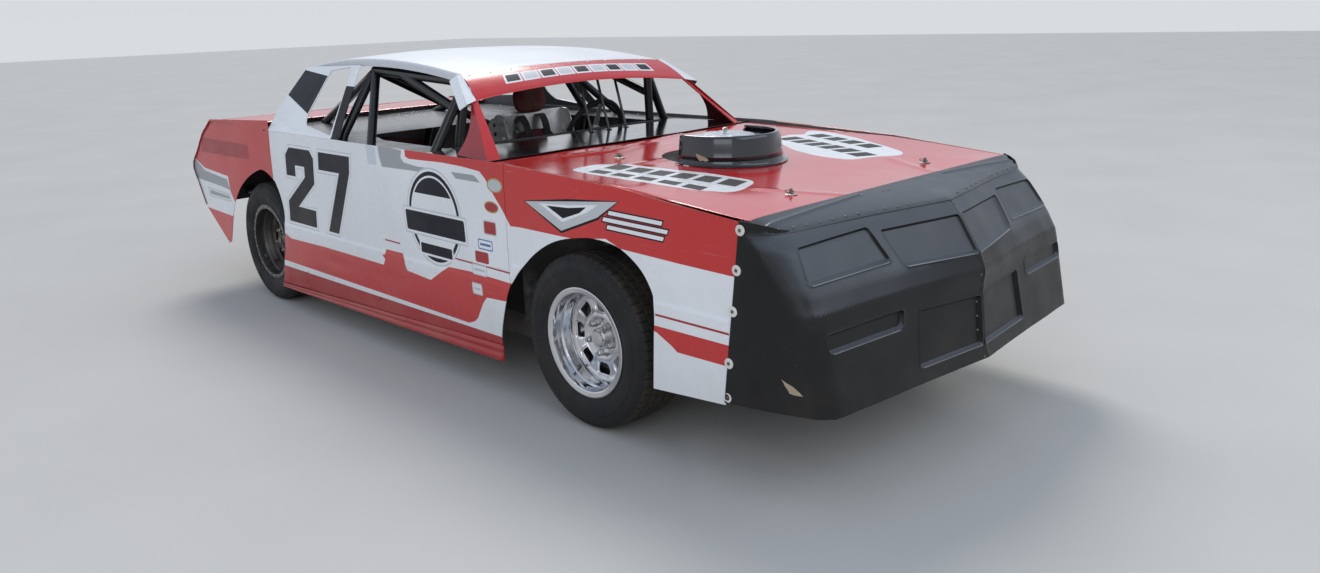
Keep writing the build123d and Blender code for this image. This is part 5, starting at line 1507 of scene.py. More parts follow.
sheet("dash_skin", mmp([(-838, -682), (838, -682), (838, -218), (-838, -218)]), level(0.9655, 0.0016), "dash_paint", du=0.04, dv=0.04,
      out_dir=(0, 0, 1), thick=0.0025, back="dash_paint", slot="dash_black", replaces=("dash_panel",))
sheet("dash_lip", [(-0.650, 0.862), (0.650, 0.862), (0.650, 0.9645), (-0.650, 0.9645)],
      lambda x, z: np.column_stack([x, -0.2195 + 0.0008 * np.sin(14 * x), z]), "dash_paint", du=0.05, dv=0.03, out_dir=(0, 1, 0), thick=0.002,
      back="dash_paint", slot="dash_black", holes=[circle(0.33, 0.925, 0.034, 24)])
b = Build()
bar([(-0.645, -0.2200, 0.9665), (0.645, -0.2200, 0.9665)], 0.0055, seg=10)
# gauges on the dash lip, blank faces
for gx in (0.10, 0.17, 0.47, 0.54):
    V, F = lathe_data([(-0.004, 0.030), (0.010, 0.030), (0.012, 0.027), (0.009, 0.025), (0.009, 0.001)], (gx, -0.216, 0.915), (0, 1, 0), 28)
    b.add(V, F, 1)
    V, F = tube_data([(gx, -0.2062, 0.915), (gx + 0.012, -0.2062, 0.930)], 0.0012, 6)
    b.add(V, F, 2)
b.out("dash_trim", ["cage_paint", "black_vinyl", "washer_plastic"], "chassis", "dash_black", (), 40)

hole = round_poly(mmp([(-640, -216), (640, -216), (640, 410), (555, 685), (-555, 685), (-640, 410)]), 0.02)
hole = mmp([(-640, -260), (640, -260)]) + round_poly(mmp([(640, -150), (640, 410), (555, 685), (-555, 685), (-640, 410), (-640, -150)]), 0.02)[0:]
sheet("deck_skin", mmp([(-840, -215), (840, -215), (840, 1665), (-840, 1665)]), level(0.9615, 0.0022, 4.1, 3.3), "deck_paint", du=0.045, dv=0.045,
      holes=[hole, circle(0.612, -0.19, 0.026, 16), circle(-0.612, -0.19, 0.026, 16)], out_dir=(0, 0, 1), thick=0.0025, slot="deck_grey",
      replaces=("interior_deck",))
P_ = [(x, y, 0.9635) for s_ in (-1, 1) for x, y in [(s_ * 0.80, -0.1 + 0.22 * k) for k in range(8)]] + [(-0.75 + 0.25 * k, 1.62, 0.9635) for k in range(7)]
studs("deck_rivets", P_, [(0, 0, 1)] * len(P_), 0.005, 0.0028, "steel_zinc")

rd = [(-0.845, 1.6685), (0.845, 1.6685), (0.845, 2.0905), (-0.845, 2.0905)]
sheet("rear_deck_skin", rd, lambda x, y: np.column_stack([x, y, 0.9895 - 0.014 * (np.abs(x) / 0.845) ** 6 * 0 + 0.0016 * np.sin(5 * x + 1) * np.sin(8 * y) -
                                                         0.010 * np.exp(-(2.0905 - y) / 0.008) - 0.003 * np.exp(-(y - 1.6685) / 0.005)]),
      "red_paint", [(mmp([(-845, 1683), (845, 1683), (845, 1694), (-845, 1694)]), "white_paint")], du=0.04, dv=0.03,
      rows=[((-0.84, 2.0905 - k), (0.84, 2.0905 - k), 50) for k in (0.003, 0.008, 0.015, 0.025)] +
           [((-0.84, 1.6685 + k), (0.84, 1.6685 + k), 50) for k in (0.003, 0.007)],
      out_dir=(0, 0, 1), thick=0.0025, slot="panel_red", replaces=("rear_deck",))
studs("rear_deck_rivets", [(-0.8 + 0.2 * k, 1.676, 0.9895) for k in range(9)], [(0, 0, 1)] * 9, 0.005, 0.0028, "steel_zinc")

TL = spline([(2.094, 0.990), (2.160, 0.950), (2.236, 0.903), (2.345, 0.800), (2.455, 0.694), (2.390, 0.575), (2.317, 0.456)], 6)
TLs = [0.0]
for p, q in zip(TL, TL[1:]):
    TLs.append(TLs[-1] + math.hypot(q[0] - p[0], q[1] - p[1]))
TLY, TLZ, TLs = np.array([p[0] for p in TL]), np.array([p[1] for p in TL]), np.array(TLs)
TEND = TLs[-1]


def tail_surf(x, s_):
    y = sum(k * np.interp(s_ + d_, TLs, TLY) for d_, k in ((-0.012, 1), (0, 2), (0.012, 1))) / 4
    z = sum(k * np.interp(s_ + d_, TLs, TLZ) for d_, k in ((-0.012, 1), (0, 2), (0.012, 1))) / 4
    w = 0.0016 * np.sin(6 * x + 1) * np.sin(9 * s_)
    corner = 0.010 * (np.clip(np.abs(x) - 0.80, 0, 1) / 0.045) ** 2
    dep = np.zeros_like(x)
    for poly, d_ in TAIL_REC:
        din, dout = dist_in(poly, x, s_)
        dep = dep + d_ * smoothstep(din / 0.010)
    return np.column_stack([x, y + w - corner - dep, z])


TAIL_REC = [(round_poly([(s_ * 0.28, 0.30), (s_ * 0.77, 0.30), (s_ * 0.77, 0.475), (s_ * 0.30, 0.475)], 0.02), 0.008) for s_ in (-1, 1)]
tail_R = [([(-0.9, 0.275), (0.9, 0.275), (0.9, 0.283), (-0.9, 0.283)], "white_paint"),
          ([(-0.9, 0.505), (0.9, 0.505), (0.9, 0.60), (-0.9, 0.60)], "white_paint"),
          ([(-0.9, 0.530), (0.9, 0.530), (0.9, 0.572), (-0.9, 0.572)], "grey_vinyl"),
          ([(-0.9, 0.655), (0.9, 0.655), (0.9, 0.9), (-0.9, 0.9)], "crimson_vinyl")]
for s_ in (-1, 1):
    for k in range(3):
        x0 = s_ * (0.33 + 0.145 * k)
        q = [(x0, 0.325), (x0 + s_ * 0.125, 0.325), (x0 + s_ * 0.125, 0.450), (x0, 0.450)]
        tail_R += [(round_poly(q, 0.012), "black_vinyl"), (round_poly(grow(q, -0.010), 0.01), "crimson_vinyl")]
sheet("tail_skin", [(-0.8465, 0), (0.8465, 0), (0.8465, TEND), (-0.8465, TEND)], tail_surf, "red_paint", tail_R, du=0.03, dv=0.02,
      extra=[q for poly, _ in TAIL_REC for k in (-0.010, -0.006, -0.002, 0.003) for q in dense([tuple(t) for t in grow(poly, k)], 0.02)],
      out_dir=(0, 1, 0.1), thick=0.0025, slot="tail_livery", replaces=("tail_panel",))
studs("tail_rivets", [tuple(tail_surf(np.array([-0.8 + 0.2 * k]), np.array([v]))[0]) for k in range(9) for v in (0.02, TEND - 0.015)],
      [(0, 1, 0.6)] * 18, 0.005, 0.0028, "steel_zinc")

# ---------------------------------------------------------------------------
# pieces shown from CAD copies with softened edges
# ---------------------------------------------------------------------------
for node, mat, bev in (("frame_rails", "frame_paint", 0.004), ("frame_crossmembers", "frame_paint", 0.003), ("frame_uprights", "frame_paint", 0.003),
                       ("radiator", "sheet_alloy", 0.004), ("engine_block", "engine_paint", 0.008),
                       ("fuel_cell", "tank_paint", 0.012), ("driveline", "iron_raw", 0.006), ("front_arms", "steel_zinc", 0.0015),
                       ("knuckle_left", "iron_raw", 0.003), ("knuckle_right", "iron_raw", 0.003), ("tie_rod", "steel_zinc", 0.001),
                       ("rear_axle", "iron_raw", 0.004), ("rear_links", "cage_paint", 0.001), ("exhaust_pipes", "exhaust_metal", 0.0)):
    cad_copy(node, mat, bev)
set_mat("firewall", "sheet_alloy")
set_mat("floor_pan", "floor_paint")

b = Build()
for y, z, half, y_in, pz in ((-2.358, 0.420, 0.620, -2.152, 0.320), (2.270, 0.520, 0.600, 2.202, 0.460)):
    e_ = -0.05 if y < 0 else 0.05
    bar([(-half, y, z), (half, y, z)], 0.0248)
    for s_ in (-1, 1):
        x_ = 0.380 if y < 0 else 0.410
        bar([(s_ * x_, y, z), (s_ * x_, y_in, pz)], 0.0196)
b.out("bumper_look", "cage_paint", "chassis", "frame_black", ("bumper_bars",), 50)

# springs: coils round a damper body
b = Build()


def coil(x, y, z0, z1, r, wire, turns):
    pts = []
    n_ = int(turns * 18)
    for k in range(n_ + 1):
        t = k / n_
        tt = t + 0.06 * math.sin(2 * math.pi * t) / (2 * math.pi) * -1
        pts.append((x + r * math.cos(2 * math.pi * turns * t), y + r * math.sin(2 * math.pi * turns * t), z0 + wire + (z1 - z0 - 2 * wire) * tt))
    V, F = tube_data(pts, wire, 8)
    b.add(V, F, 0)


for s_ in (-1, 1):
    for (x, y, z0, z1, top) in ((0.505, -1.280, 0.221, 0.422, 0.4237), (0.500, 1.463, 0.396, 0.628, 0.6297)):
        coil(s_ * x, y, z0, z1, 0.0375, 0.0062, 6.5 if y < 0 else 8)
        V, F = lathe_data([(z0 - 0.004, 0.017), (z0 + 0.10, 0.019), (z0 + 0.102, 0.012), (top - 0.012, 0.009), (top - 0.004, 0.009)], (s_ * x, y, 0), (0, 0, 1), 20)
        b.add(V, F, 1)
        for z_ in (z0 - 0.001, z1 + 0.0002):
            V, F = lathe_data([(z_ - 0.003, 0.016), (z_ - 0.003, 0.0435), (z_ + 0.0016, 0.0435), (z_ + 0.0016, 0.016)], (s_ * x, y, 0), (0, 0, 1), 28)
            b.add(V, F, 2)
b.out("spring_look", ["crimson_vinyl", "steel_zinc", "bolt_dark"], "chassis", "coil_steel", ("coil_springs",), 40)

# ---------------------------------------------------------------------------
# driver's seat, straps and head pad
# ---------------------------------------------------------------------------
SX, SH = 0.330, 0.225
SL = rounded([(0, -0.020, 0.420), (0, 0.000, 0.345), (0, 0.360, 0.320), (0, 0.425, 0.360), (0, 0.520, 1.010)], 0.05, 6)
SLs = [0.0]
for p, q in zip(SL, SL[1:]):
    SLs.append(SLs[-1] + (q - p).length)
SLY, SLZ, SLs = np.array([p.y for p in SL]), np.array([p.z for p in SL]), np.array(SLs)


def seat_surf(x, s_):
    y, z = np.interp(s_, SLs, SLY), np.interp(s_, SLs, SLZ)
    c = (np.abs(x - SX) / SH) ** 3
    return np.column_stack([x, y - 0.010 * c * smoothstep((s_ - 0.45) / 0.1), z + 0.012 * c * (1 - smoothstep((s_ - 0.40) / 0.1))])


hol = [round_poly([(SX + a - 0.022, 1.00), (SX + a + 0.022, 1.00), (SX + a + 0.022, 1.018), (SX + a - 0.022, 1.018)], 0.008) for a in (-0.07, 0.07)]
hol += [circle(SX + a, v, 0.011, 16) for a in (-0.15, -0.10, -0.05, 0.0, 0.05, 0.10, 0.15) for v in (0.62, 0.68, 0.74)]
sheet("seat_shell", [(SX - SH, 0), (SX + SH, 0), (SX + SH, float(SLs[-1])), (SX - SH, float(SLs[-1]))], seat_surf, "sheet_alloy", holes=hol,
      du=0.03, dv=0.02, out_dir=(0, -0.7, 0.7), thick=0.003, back="sheet_alloy", slot="seat_aluminium", replaces=("driver_seat",))
wing = round_poly(mmp([(-24, 418), (-2, 340), (360, 316), (430, 356), (524, 1006), (444, 1006), (342, 700), (252, 482), (0, 470)]), 0.03)
for s_, tag in ((-1, "inner"), (1, "outer")):
    sheet("seat_wing_" + tag, wing, (lambda q: (lambda y, z: np.column_stack([SX + q * (SH + 0.003 + 0.010 * smoothstep((z - 0.6) / 0.4) * 0) + 0 * y, y, z])))(s_),
          "sheet_alloy", du=0.03, dv=0.03, out_dir=(s_, 0, 0), thick=0.003, back="sheet_alloy", slot="seat_aluminium",
          holes=[circle(0.440, 0.82, 0.014, 16), circle(0.452, 0.88, 0.014, 16), circle(0.430, 0.76, 0.014, 16)])
    ring = [Vector((SX + s_ * (SH + 0.003), q[0], q[1])) for q in wing]
    V, F = tube_data([tuple(p) for p in ring] + [tuple(ring[0])], 0.0045, 8, cap=False)
    mesh_obj("seat_edge_" + tag, V, F, "sheet_alloy", "chassis")
# shoulder plate with lightening holes beside the seat
sheet("seat_brace", mmp([(44, 862), (292, 862), (296, 985), (250, 998), (70, 992), (44, 965)]), lambda x, z: np.column_stack([x, 0.500 + 0 * x + 0.001 * np.sin(30 * x), z]),
      "sheet_alloy", holes=[circle(x_, z_, 0.013, 18) for x_, z_ in ((0.085, 0.955), (0.150, 0.962), (0.225, 0.960), (0.085, 0.905), (0.155, 0.900), (0.230, 0.905))],
      du=0.03, dv=0.03, out_dir=(0, -1, 0), thick=0.003, back="sheet_alloy", slot="seat_aluminium")
b = Build()
for s_ in (-1, 1):
    V, F = box_data(SX + s_ * 0.18 - 0.015, SX + s_ * 0.18 + 0.015, 0.02, 0.35, 0.277, 0.322, 0.003)
    b.add(V, F)
b.out("seat_rails", "steel_zinc", "chassis", "seat_aluminium")


def cushion(name, cx_, cy_, cz_, hx, hy, hz, mat, tilt=0.0, p=3.2, body="chassis"):
    """crowned closed pad with a piped seam round its middle"""
    V, F = [], []
    nu, nv = 44, 24
    for i in range(nv + 1):
        ph = -math.pi / 2 + math.pi * i / nv
        for k in range(nu):
            t = 2 * math.pi * k / nu
            c_, s2 = math.cos(t), math.sin(t)
            rr = (abs(c_) ** p + abs(s2) ** p) ** (-1 / p)
            cw = abs(math.cos(ph)) ** 0.55
            x, z = hx * rr * c_ * cw, hz * rr * s2 * cw
            y = hy * (1 if ph > 0 else -1) * abs(math.sin(ph)) ** 0.8
            y *= 1 - 0.10 * ((x / hx) ** 2 + (z / hz) ** 2) * 0.5
            wr = 0.0012 * math.sin(60 * x + 20 * z) * math.sin(35 * z)
            V.append((cx_ + x, cy_ + (y + wr) * math.cos(tilt) - z * math.sin(tilt), cz_ + z * math.cos(tilt) + y * math.sin(tilt)))
    F = [(i * nu + k, i * nu + (k + 1) % nu, (i + 1) * nu + (k + 1) % nu, (i + 1) * nu + k) for i in range(nv) for k in range(nu)]
    o = mesh_obj(name, V, F, mat, body, angle=80)
    seam = []
    for k in range(nu + 1):
        t = 2 * math.pi * k / nu
        c_, s2 = math.cos(t), math.sin(t)
        rr = (abs(c_) ** p + abs(s2) ** p) ** (-1 / p)
        x, z = hx * rr * c_ * 1.004, hz * rr * s2 * 1.004
        seam.append((cx_ + x, cy_ - z * math.sin(tilt), cz_ + z * math.cos(tilt)))
    V, F = tube_data(seam, 0.0028, 6, cap=False)
    mesh_obj(name + "_piping", V, F, "belt_webbing", body)
    return o


cushion("head_pad", SX, 0.503, 1.075, 0.108, 0.022, 0.072, "pad_fabric", -0.12)
cushion("back_pad", SX, 0.437, 0.720, 0.150, 0.020, 0.190, "pad_fabric", -0.145)
cushion("base_pad", SX, 0.180, 0.352, 0.170, 0.150, 0.018, "pad_fabric", 0.0)


def strap(name, pts, w, across, mat="belt_webbing", t=0.0016):
    """flat webbing along a line"""
    P = [Vector(p) for p in rounded(pts, 0.05, 5)]
    A = Vector(across).normalized()
    V, F = [], []
    for i, p in enumerate(P):
        d_ = (P[min(i + 1, len(P) - 1)] - P[max(i - 1, 0)]).normalized()
        nn = d_.cross(A).normalized()
        for a_, c_ in ((-1, -1), (1, -1), (1, 1), (-1, 1)):
            V.append(p + A * a_ * w / 2 + nn * c_ * t)
    for i in range(len(P) - 1):
        for k in range(4):
            j = (k + 1) % 4
            F.append((i * 4 + k, i * 4 + j, (i + 1) * 4 + j, (i + 1) * 4 + k))
    F += [(0, 1, 2, 3), tuple((len(P) - 1) * 4 + k for k in (3, 2, 1, 0))]
    return mesh_obj(name, V, F, mat, "chassis")


for s_ in (-1, 1):
    strap("shoulder_strap_" + ("a" if s_ < 0 else "b"), [(SX + s_ * 0.07, 0.535, 0.985), (SX + s_ * 0.07, 0.494, 0.992), (SX + s_ * 0.068, 0.455, 0.945),
                                                         (SX + s_ * 0.06, 0.400, 0.700), (SX + s_ * 0.03, 0.330, 0.480), (SX + s_ * 0.01, 0.24, 0.385)], 0.048, (1, 0, 0))
strap("lap_strap", [(SX - 0.215, 0.36, 0.385), (SX - 0.12, 0.28, 0.392), (SX, 0.235, 0.392), (SX + 0.12, 0.28, 0.392), (SX + 0.215, 0.36, 0.385)], 0.045, (0, 0.45, 0.9))

# ---------------------------------------------------------------------------
# steering wheel
# ---------------------------------------------------------------------------
wc = Vector((0.330, -0.040, 0.925))
wd = Vector((0, -1.0, -0.42)).normalized()
wx, wy = Vector((1, 0, 0)), wd.cross(Vector((1, 0, 0))).normalized()
b = Build()
V, F = [], []
for i in range(96):
    t = 2 * math.pi * i / 96
    c_ = wc + (wx * math.cos(t) + wy * math.sin(t)) * 0.178
    o_ = (wx * math.cos(t) + wy * math.sin(t))
    for k in range(14):
        a_ = 2 * math.pi * k / 14
        rr = 0.0128 - (0.0012 if (math.cos(a_) > 0.4 and i % 4 == 0) else 0)
        V.append(c_ + (o_ * math.cos(a_) + wd * math.sin(a_)) * rr)
F = [(i * 14 + k, i * 14 + (k + 1) % 14, ((i + 1) % 96) * 14 + (k + 1) % 14, ((i + 1) % 96) * 14 + k) for i in range(96) for k in range(14)]
b.add(V, F, 0)
for k in range(3):
    t = math.radians(90 + 120 * k)
    o_, q_ = wx * math.cos(t) + wy * math.sin(t), wy * math.cos(t) - wx * math.sin(t)
    for a0_, a1_, w0, w1 in ((0.034, 0.172, 0.017, 0.012),):
        pts = [wc + o_ * a0_ + q_ * w0, wc + o_ * a0_ - q_ * w0, wc + o_ * a1_ - q_ * w1, wc + o_ * a1_ + q_ * w1]
        b.add([p + wd * 0.0025 for p in pts] + [p - wd * 0.0025 for p in pts], [(0, 1, 2, 3), (7, 6, 5, 4), (0, 4, 5, 1), (1, 5, 6, 2), (2, 6, 7, 3), (3, 7, 4, 0)], 1)
V, F = lathe_data([(-0.012, 0.002), (-0.012, 0.034), (-0.009, 0.039), (0.009, 0.040), (0.012, 0.036), (0.012, 0.014), (0.72, 0.0118), (0.72, 0.001)], wc, wd, 32)
b.add(V, F, 1)
V, F = tube_data([wc - wd * 0.0125 + wx * 0.0, wc - wd * 0.0165], 0.013, 20)
b.add(V, F, 2)
b.out("steering_wheel_look", ["tyre_side", "sheet_alloy", "crimson_vinyl"], "steering_wheel", "wheel_grip", ("steering_wheel",), 40)

# ---------------------------------------------------------------------------
# wheels
# ---------------------------------------------------------------------------
HZ_ = 0.336


def wheel_frame(s, ya, xc):
    O = Vector((s * xc, ya, HZ_))
    A = Vector((s, 0, 0))
    X = Vector((0, 1, 0))
    return O, A, X, A.cross(X)


def at(Fr, a, r, t):
    O, A, X, Y = Fr
    return O + A * a + (X * math.cos(t) + Y * math.sin(t)) * r


def turned(Fr, prof, seg, wob=None):
    V = []
    for i, (a, r) in enumerate(prof):
        for k in range(seg):
            V.append(at(Fr, a, r, 2 * math.pi * k / seg))
    F = [(i * seg + k, i * seg + (k + 1) % seg, (i + 1) * seg + (k + 1) % seg, (i + 1) * seg + k) for i in range(len(prof) - 1) for k in range(seg)]
    return V, F


def tyre(name, s, ya, xc, body):
    Fr = wheel_frame(s, ya, xc)
    b = Build()
    half = [(0.098, 0.1945), (0.1005, 0.1985), (0.1030, 0.2050), (0.1045, 0.2120), (0.1075, 0.2140), (0.1085, 0.2185), (0.1120, 0.2270),
            (0.1160, 0.2360), (0.1192, 0.2460), (0.1212, 0.2560), (0.1224, 0.2670), (0.1226, 0.2760), (0.1240, 0.2775), (0.1240, 0.2800),
            (0.1222, 0.2815), (0.1210, 0.2910), (0.1190, 0.3010), (0.1165, 0.3085), (0.1150, 0.3105), (0.1143, 0.3120), (0.1115, 0.3190),
            (0.1080, 0.3240), (0.1035, 0.3282)]
    inner = [(0.084, 0.194), (0.091, 0.217), (0.105, 0.244), (0.109, 0.268), (0.104, 0.301), (0.097, 0.313)]
    for m in (1, -1):
        prof = [(m * a, r) for a, r in half]
        V, F = turned(Fr, prof, 96)
        b.add(V, F, 0)
        V, F = turned(Fr, [(m * 0.098, 0.1945), (m * 0.084, 0.194)] + [(m * a, r) for a, r in inner[1:]] + [(0.0, 0.322)], 48)
        b.add(V, F, 0)
    # tread: five rows of blocks, staggered cross grooves
    NP = 60
    fr = [0.0, 0.030, 0.100, 0.130, 0.5, 0.530, 0.600, 0.630]
    ang = [(p + f) / NP for p in range(NP) for f in fr]
    edges = [-0.0640, -0.0235, 0.0235, 0.0640]
    W = [-0.1050, -0.1010, -0.0965, -0.0900]
    for e_ in edges:
        W += [e_ - 0.0042, e_ - 0.0028, e_ + 0.0028, e_ + 0.0042]
    W += [0.0900, 0.0965, 0.1010, 0.1050]
    W = sorted(W + [-0.0440, 0.0, 0.0440])
    V = []
    for w in W:
        base = 0.3360 - 0.0006 * (w / 0.09) ** 2
        aw = abs(w)
        if aw > 0.088:
            base -= {0.0900: 0.0004, 0.0965: 0.0024, 0.1010: 0.0052, 0.1050: 0.0098}[round(aw, 4)]
        row = sum(1 for e_ in edges if w > e_)
        circ = min(abs(w - e_) for e_ in edges) < 0.0030
        edge = min(abs(w - e_) for e_ in edges) < 0.0046
        for i, f in enumerate(ang):
            k = i % 8
            cut = 0.0
            if circ:
                cut = 0.0050
            else:
                kind = (1, 2) if row % 2 == 0 else (5, 6)
                if k in kind and aw < 0.104:
                    cut = 0.0042 if not (row in (0, 4) and aw > 0.0965) else 0.0030
                elif row in (1, 3) and k in ((5, 6) if kind == (1, 2) else (1, 2)) and aw < 0.05 and not edge and abs(aw - 0.044) < 0.001:
                    cut = 0.0018
            V.append(at(Fr, w, base - cut, 2 * math.pi * f))
    na = len(ang)
    F = [(i * na + k, i * na + (k + 1) % na, (i + 1) * na + (k + 1) % na, (i + 1) * na + k) for i in range(len(W) - 1) for k in range(na)]
    b.add(V, F, 1)
    # short moulding ribs round the shoulder, no lettering
    for m in (1, -1):
        for k in range(120):
            t = 2 * math.pi * (k + 0.5) / 120
            dt = 0.006
            q = []
            for a, r in ((0.1143, 0.3124), (0.1098, 0.3215)):
                for tt in (t - dt, t + dt):
                    q.append((m * a, r, tt))
            V = [at(Fr, a - m * 0.001, r - 0.001, tt) for a, r, tt in q] + [at(Fr, a + m * 0.0013, r + 0.0008, tt) for a, r, tt in q]
            b.add(V, [(4, 5, 7, 6), (0, 1, 5, 4), (2, 6, 7, 3), (0, 4, 6, 2), (1, 3, 7, 5)], 0)
    b.out("tyre_look_" + name, ["tyre_side", "tyre_tread"], body, "tyre_rubber", ("tyre_" + name,), 32)


def disc_height(r, t, n_win, front):
    """outward height of the wheel centre above its mounting plane"""
    h = 0.006 * np.exp(-((r - 0.088) / 0.016) ** 2) + 0.004 * smoothstep((r - 0.150) / 0.02)
    h = h - 0.006 * np.exp(-((r - 0.128) / 0.030) ** 2)
    spoke = 0.5 - 0.5 * np.cos(n_win * t)
    h = h + 0.0032 * spoke * np.exp(-((r - 0.125) / 0.030) ** 2)
    return h


def wheel_centre(name, s, ya, xc, body, n_win, mat, front, slot_name):
    Fr = wheel_frame(s, ya, xc)
    O, A, X, Y = Fr
    On, An, Xn, Yn = (np.array(v) for v in (O, A, X, Y))
    wins = []
    for k in range(n_win):
        t0 = 2 * math.pi * k / n_win
        q = []
        for r_, dt in ((0.157, 0.215), (0.157, -0.215), (0.128, -0.262), (0.101, -0.235), (0.101, 0.235), (0.128, 0.262)):
            q.append((r_ * math.cos(t0 + dt), r_ * math.sin(t0 + dt)))
        wins.append(round_poly(q, 0.018, 6))

    def f(u, v):
        r, t = np.hypot(u, v), np.arctan2(v, u)
        h = 0.0205 + disc_height(r, t, n_win, front)
        for poly in wins:
            din, dout = dist_in(poly, u, v)
            h = h + 0.0012 * np.exp(-((dout - 0.0040) / 0.0026) ** 2) * (din <= 0) - 0.003 * np.exp(-(dout / 0.002)) * (din <= 0)
        return On + np.outer(h, An) + np.outer(u, Xn) + np.outer(v, Yn)
    ext = [tuple(q) for w_ in wins for k in (0.0015, 0.0032, 0.0045, 0.0062, 0.009) for q in dense([tuple(z_) for z_ in grow(w_, k)], 0.007)]
    sheet("rim_face_" + name, circle(0, 0, 0.172, 96), f, mat, holes=wins + [circle(0, 0, 0.037, 32)], du=0.0075, dv=0.0075, extra=ext,
          out_dir=(s, 0, 0), thick=0.005, back=mat, body=body, slot=slot_name)


def rim(name, s, ya, xc, body, front):
    Fr = wheel_frame(s, ya, xc)
    mat = "rim_polish" if front else "rim_black_paint"
    sl = "rim_polished" if front else "rim_black"
    b = Build()
    lip = [(0.1035, 0.1940), (0.1050, 0.2060), (0.1062, 0.2110), (0.1082, 0.2130), (0.1105, 0.2126), (0.1118, 0.2104), (0.1116, 0.2070),
           (0.1100, 0.2030), (0.1092, 0.1980), (0.1085, 0.1930), (0.1060, 0.1895), (0.0990, 0.1882), (0.0850, 0.1874), (0.0700, 0.1868),
           (0.0665, 0.1860), (0.0640, 0.1835), (0.0600, 0.1815), (0.0540, 0.1800), (0.0450, 0.1770), (0.0360, 0.1728), (0.0290, 0.1705),
           (0.0210, 0.1697), (0.0, 0.1695), (-0.055, 0.1695), (-0.070, 0.1860), (-0.1080, 0.1870), (-0.1115, 0.2060), (-0.1105, 0.2130), (-0.1070, 0.2128),
           (-0.1040, 0.1930), (-0.070, 0.1920), (-0.055, 0.1762), (0.020, 0.1762), (0.045, 0.1920), (0.1035, 0.1940)]
    V, F = turned(Fr, lip, 96)
    b.add(V, F, 0)
    mats = [mat, "bolt_dark", "steel_zinc"]
    if not front:
        # clamp ring with bolts
        V, F = turned(Fr, [(0.1085, 0.1900), (0.1118, 0.1905), (0.1124, 0.1920), (0.1124, 0.2070), (0.1112, 0.2090), (0.1085, 0.2095)], 96)
        b.add(V, F, 0)
        for k in range(24):
            t = 2 * math.pi * k / 24
            p = at(Fr, 0.1122, 0.1995, t)
            V, F = lathe_data([(0.0, 0.0062), (0.0014, 0.0062), (0.0016, 0.0046), (0.0026, 0.0044), (0.0028, 0.001)], p, Fr[1], 6)
            b.add(V, F, 2)
    # balance weights clipped inside the lip and a valve
    for t in ((2.1, 2.16, 2.22) if front else (0.6, 0.66)):
        q = [at(Fr, a, r, t + dt) for a, r in ((0.092, 0.1870), (0.078, 0.1864), (0.078, 0.1840), (0.092, 0.1846)) for dt in (-0.025, 0.025)]
        b.add(q, [(0, 1, 3, 2), (2, 3, 5, 4), (4, 5, 7, 6), (6, 7, 1, 0), (0, 2, 4, 6), (1, 7, 5, 3)], 2)
    p = at(Fr, 0.040, 0.172, 0.9)
    V, F = tube_data([p, p + Fr[1] * 0.026 - (at(Fr, 0, 1, 0.9) - Fr[0]) * 0.012], [0.0045, 0.0030], 10)
    b.add(V, F, 1)
    b.out("rim_look_" + name, mats, body, sl, ("rim_" + name,), 38)
    wheel_centre(name, s, ya, xc, body, 8, mat, front, sl)


def hub(name, s, ya, xc, body, front):
    Fr = wheel_frame(s, ya, xc)
    A = Fr[1]
    b = Build()
    # lug nuts and studs on the mounting face
    for k in range(5):
        t = 2 * math.pi * k / 5 + 0.3
        p = at(Fr, 0.0210, 0.060, t)
        V, F = lathe_data([(0.0, 0.0155), (0.003, 0.0150), (0.0035, 0.0125), (0.020, 0.0122), (0.0225, 0.0095), (0.0225, 0.0068)], p, A, 6)
        b.add(V, F, 0)
        V, F = lathe_data([(0.018, 0.0062), (0.030, 0.0062), (0.0315, 0.0050), (0.0315, 0.0008)], p, A, 12)
        b.add(V, F, 0)
    d0 = 0.014
    V, F = turned(Fr, [(0.010, 0.0372), (0.036, 0.0370), (0.0385, 0.0350), (0.0400, 0.0315), (0.0440, 0.0300), (0.0475, 0.0280), (0.0490, 0.0240),
                       (0.0498, 0.0120), (0.0500, 0.0010)], 40)
    b.add(V, F, 1)
    for k in range(6):
        t = 2 * math.pi * k / 6
        p = at(Fr, 0.0385, 0.0325, t)
        V, F = lathe_data([(0.0, 0.0035), (0.0030, 0.0033), (0.0034, 0.0008)], p, A, 6)
        b.add(V, F, 2)
    # hub body and brake disc behind the wheel
    x_off = xc
    V, F = turned(Fr, [(0.684 - x_off, 0.019), (0.684 - x_off, 0.055), (0.002 - 0.0, 0.055), (0.0020, 0.0750), (0.0134, 0.0745), (0.0134, 0.038)], 48)
    b.add(V, F, 2)
    V, F = turned(Fr, [(0.688 - x_off, 0.055), (0.688 - x_off, 0.1435), (0.6895 - x_off, 0.145), (0.7065 - x_off, 0.145), (0.708 - x_off, 0.1435), (0.708 - x_off, 0.055)], 72)
    b.add(V, F, 3)
    b.out("hub_look_" + name, ["steel_zinc", "sheet_alloy" if front else "bolt_dark", "bolt_dark", "disc_steel"], body, "hub_steel", ("hub_" + name,), 35)


for name, s, ya, xc in (("front_left", 1, -1.280, 0.726), ("front_right", -1, -1.280, 0.726), ("rear_left", 1, 1.463, 0.714), ("rear_right", -1, 1.463, 0.714)):
    body = "wheel_" + name
    front = name.startswith("front")
    tyre(name, s, ya, xc, body)
    rim(name, s, ya, xc, body, front)
    hub(name, s, ya, xc, body, front)

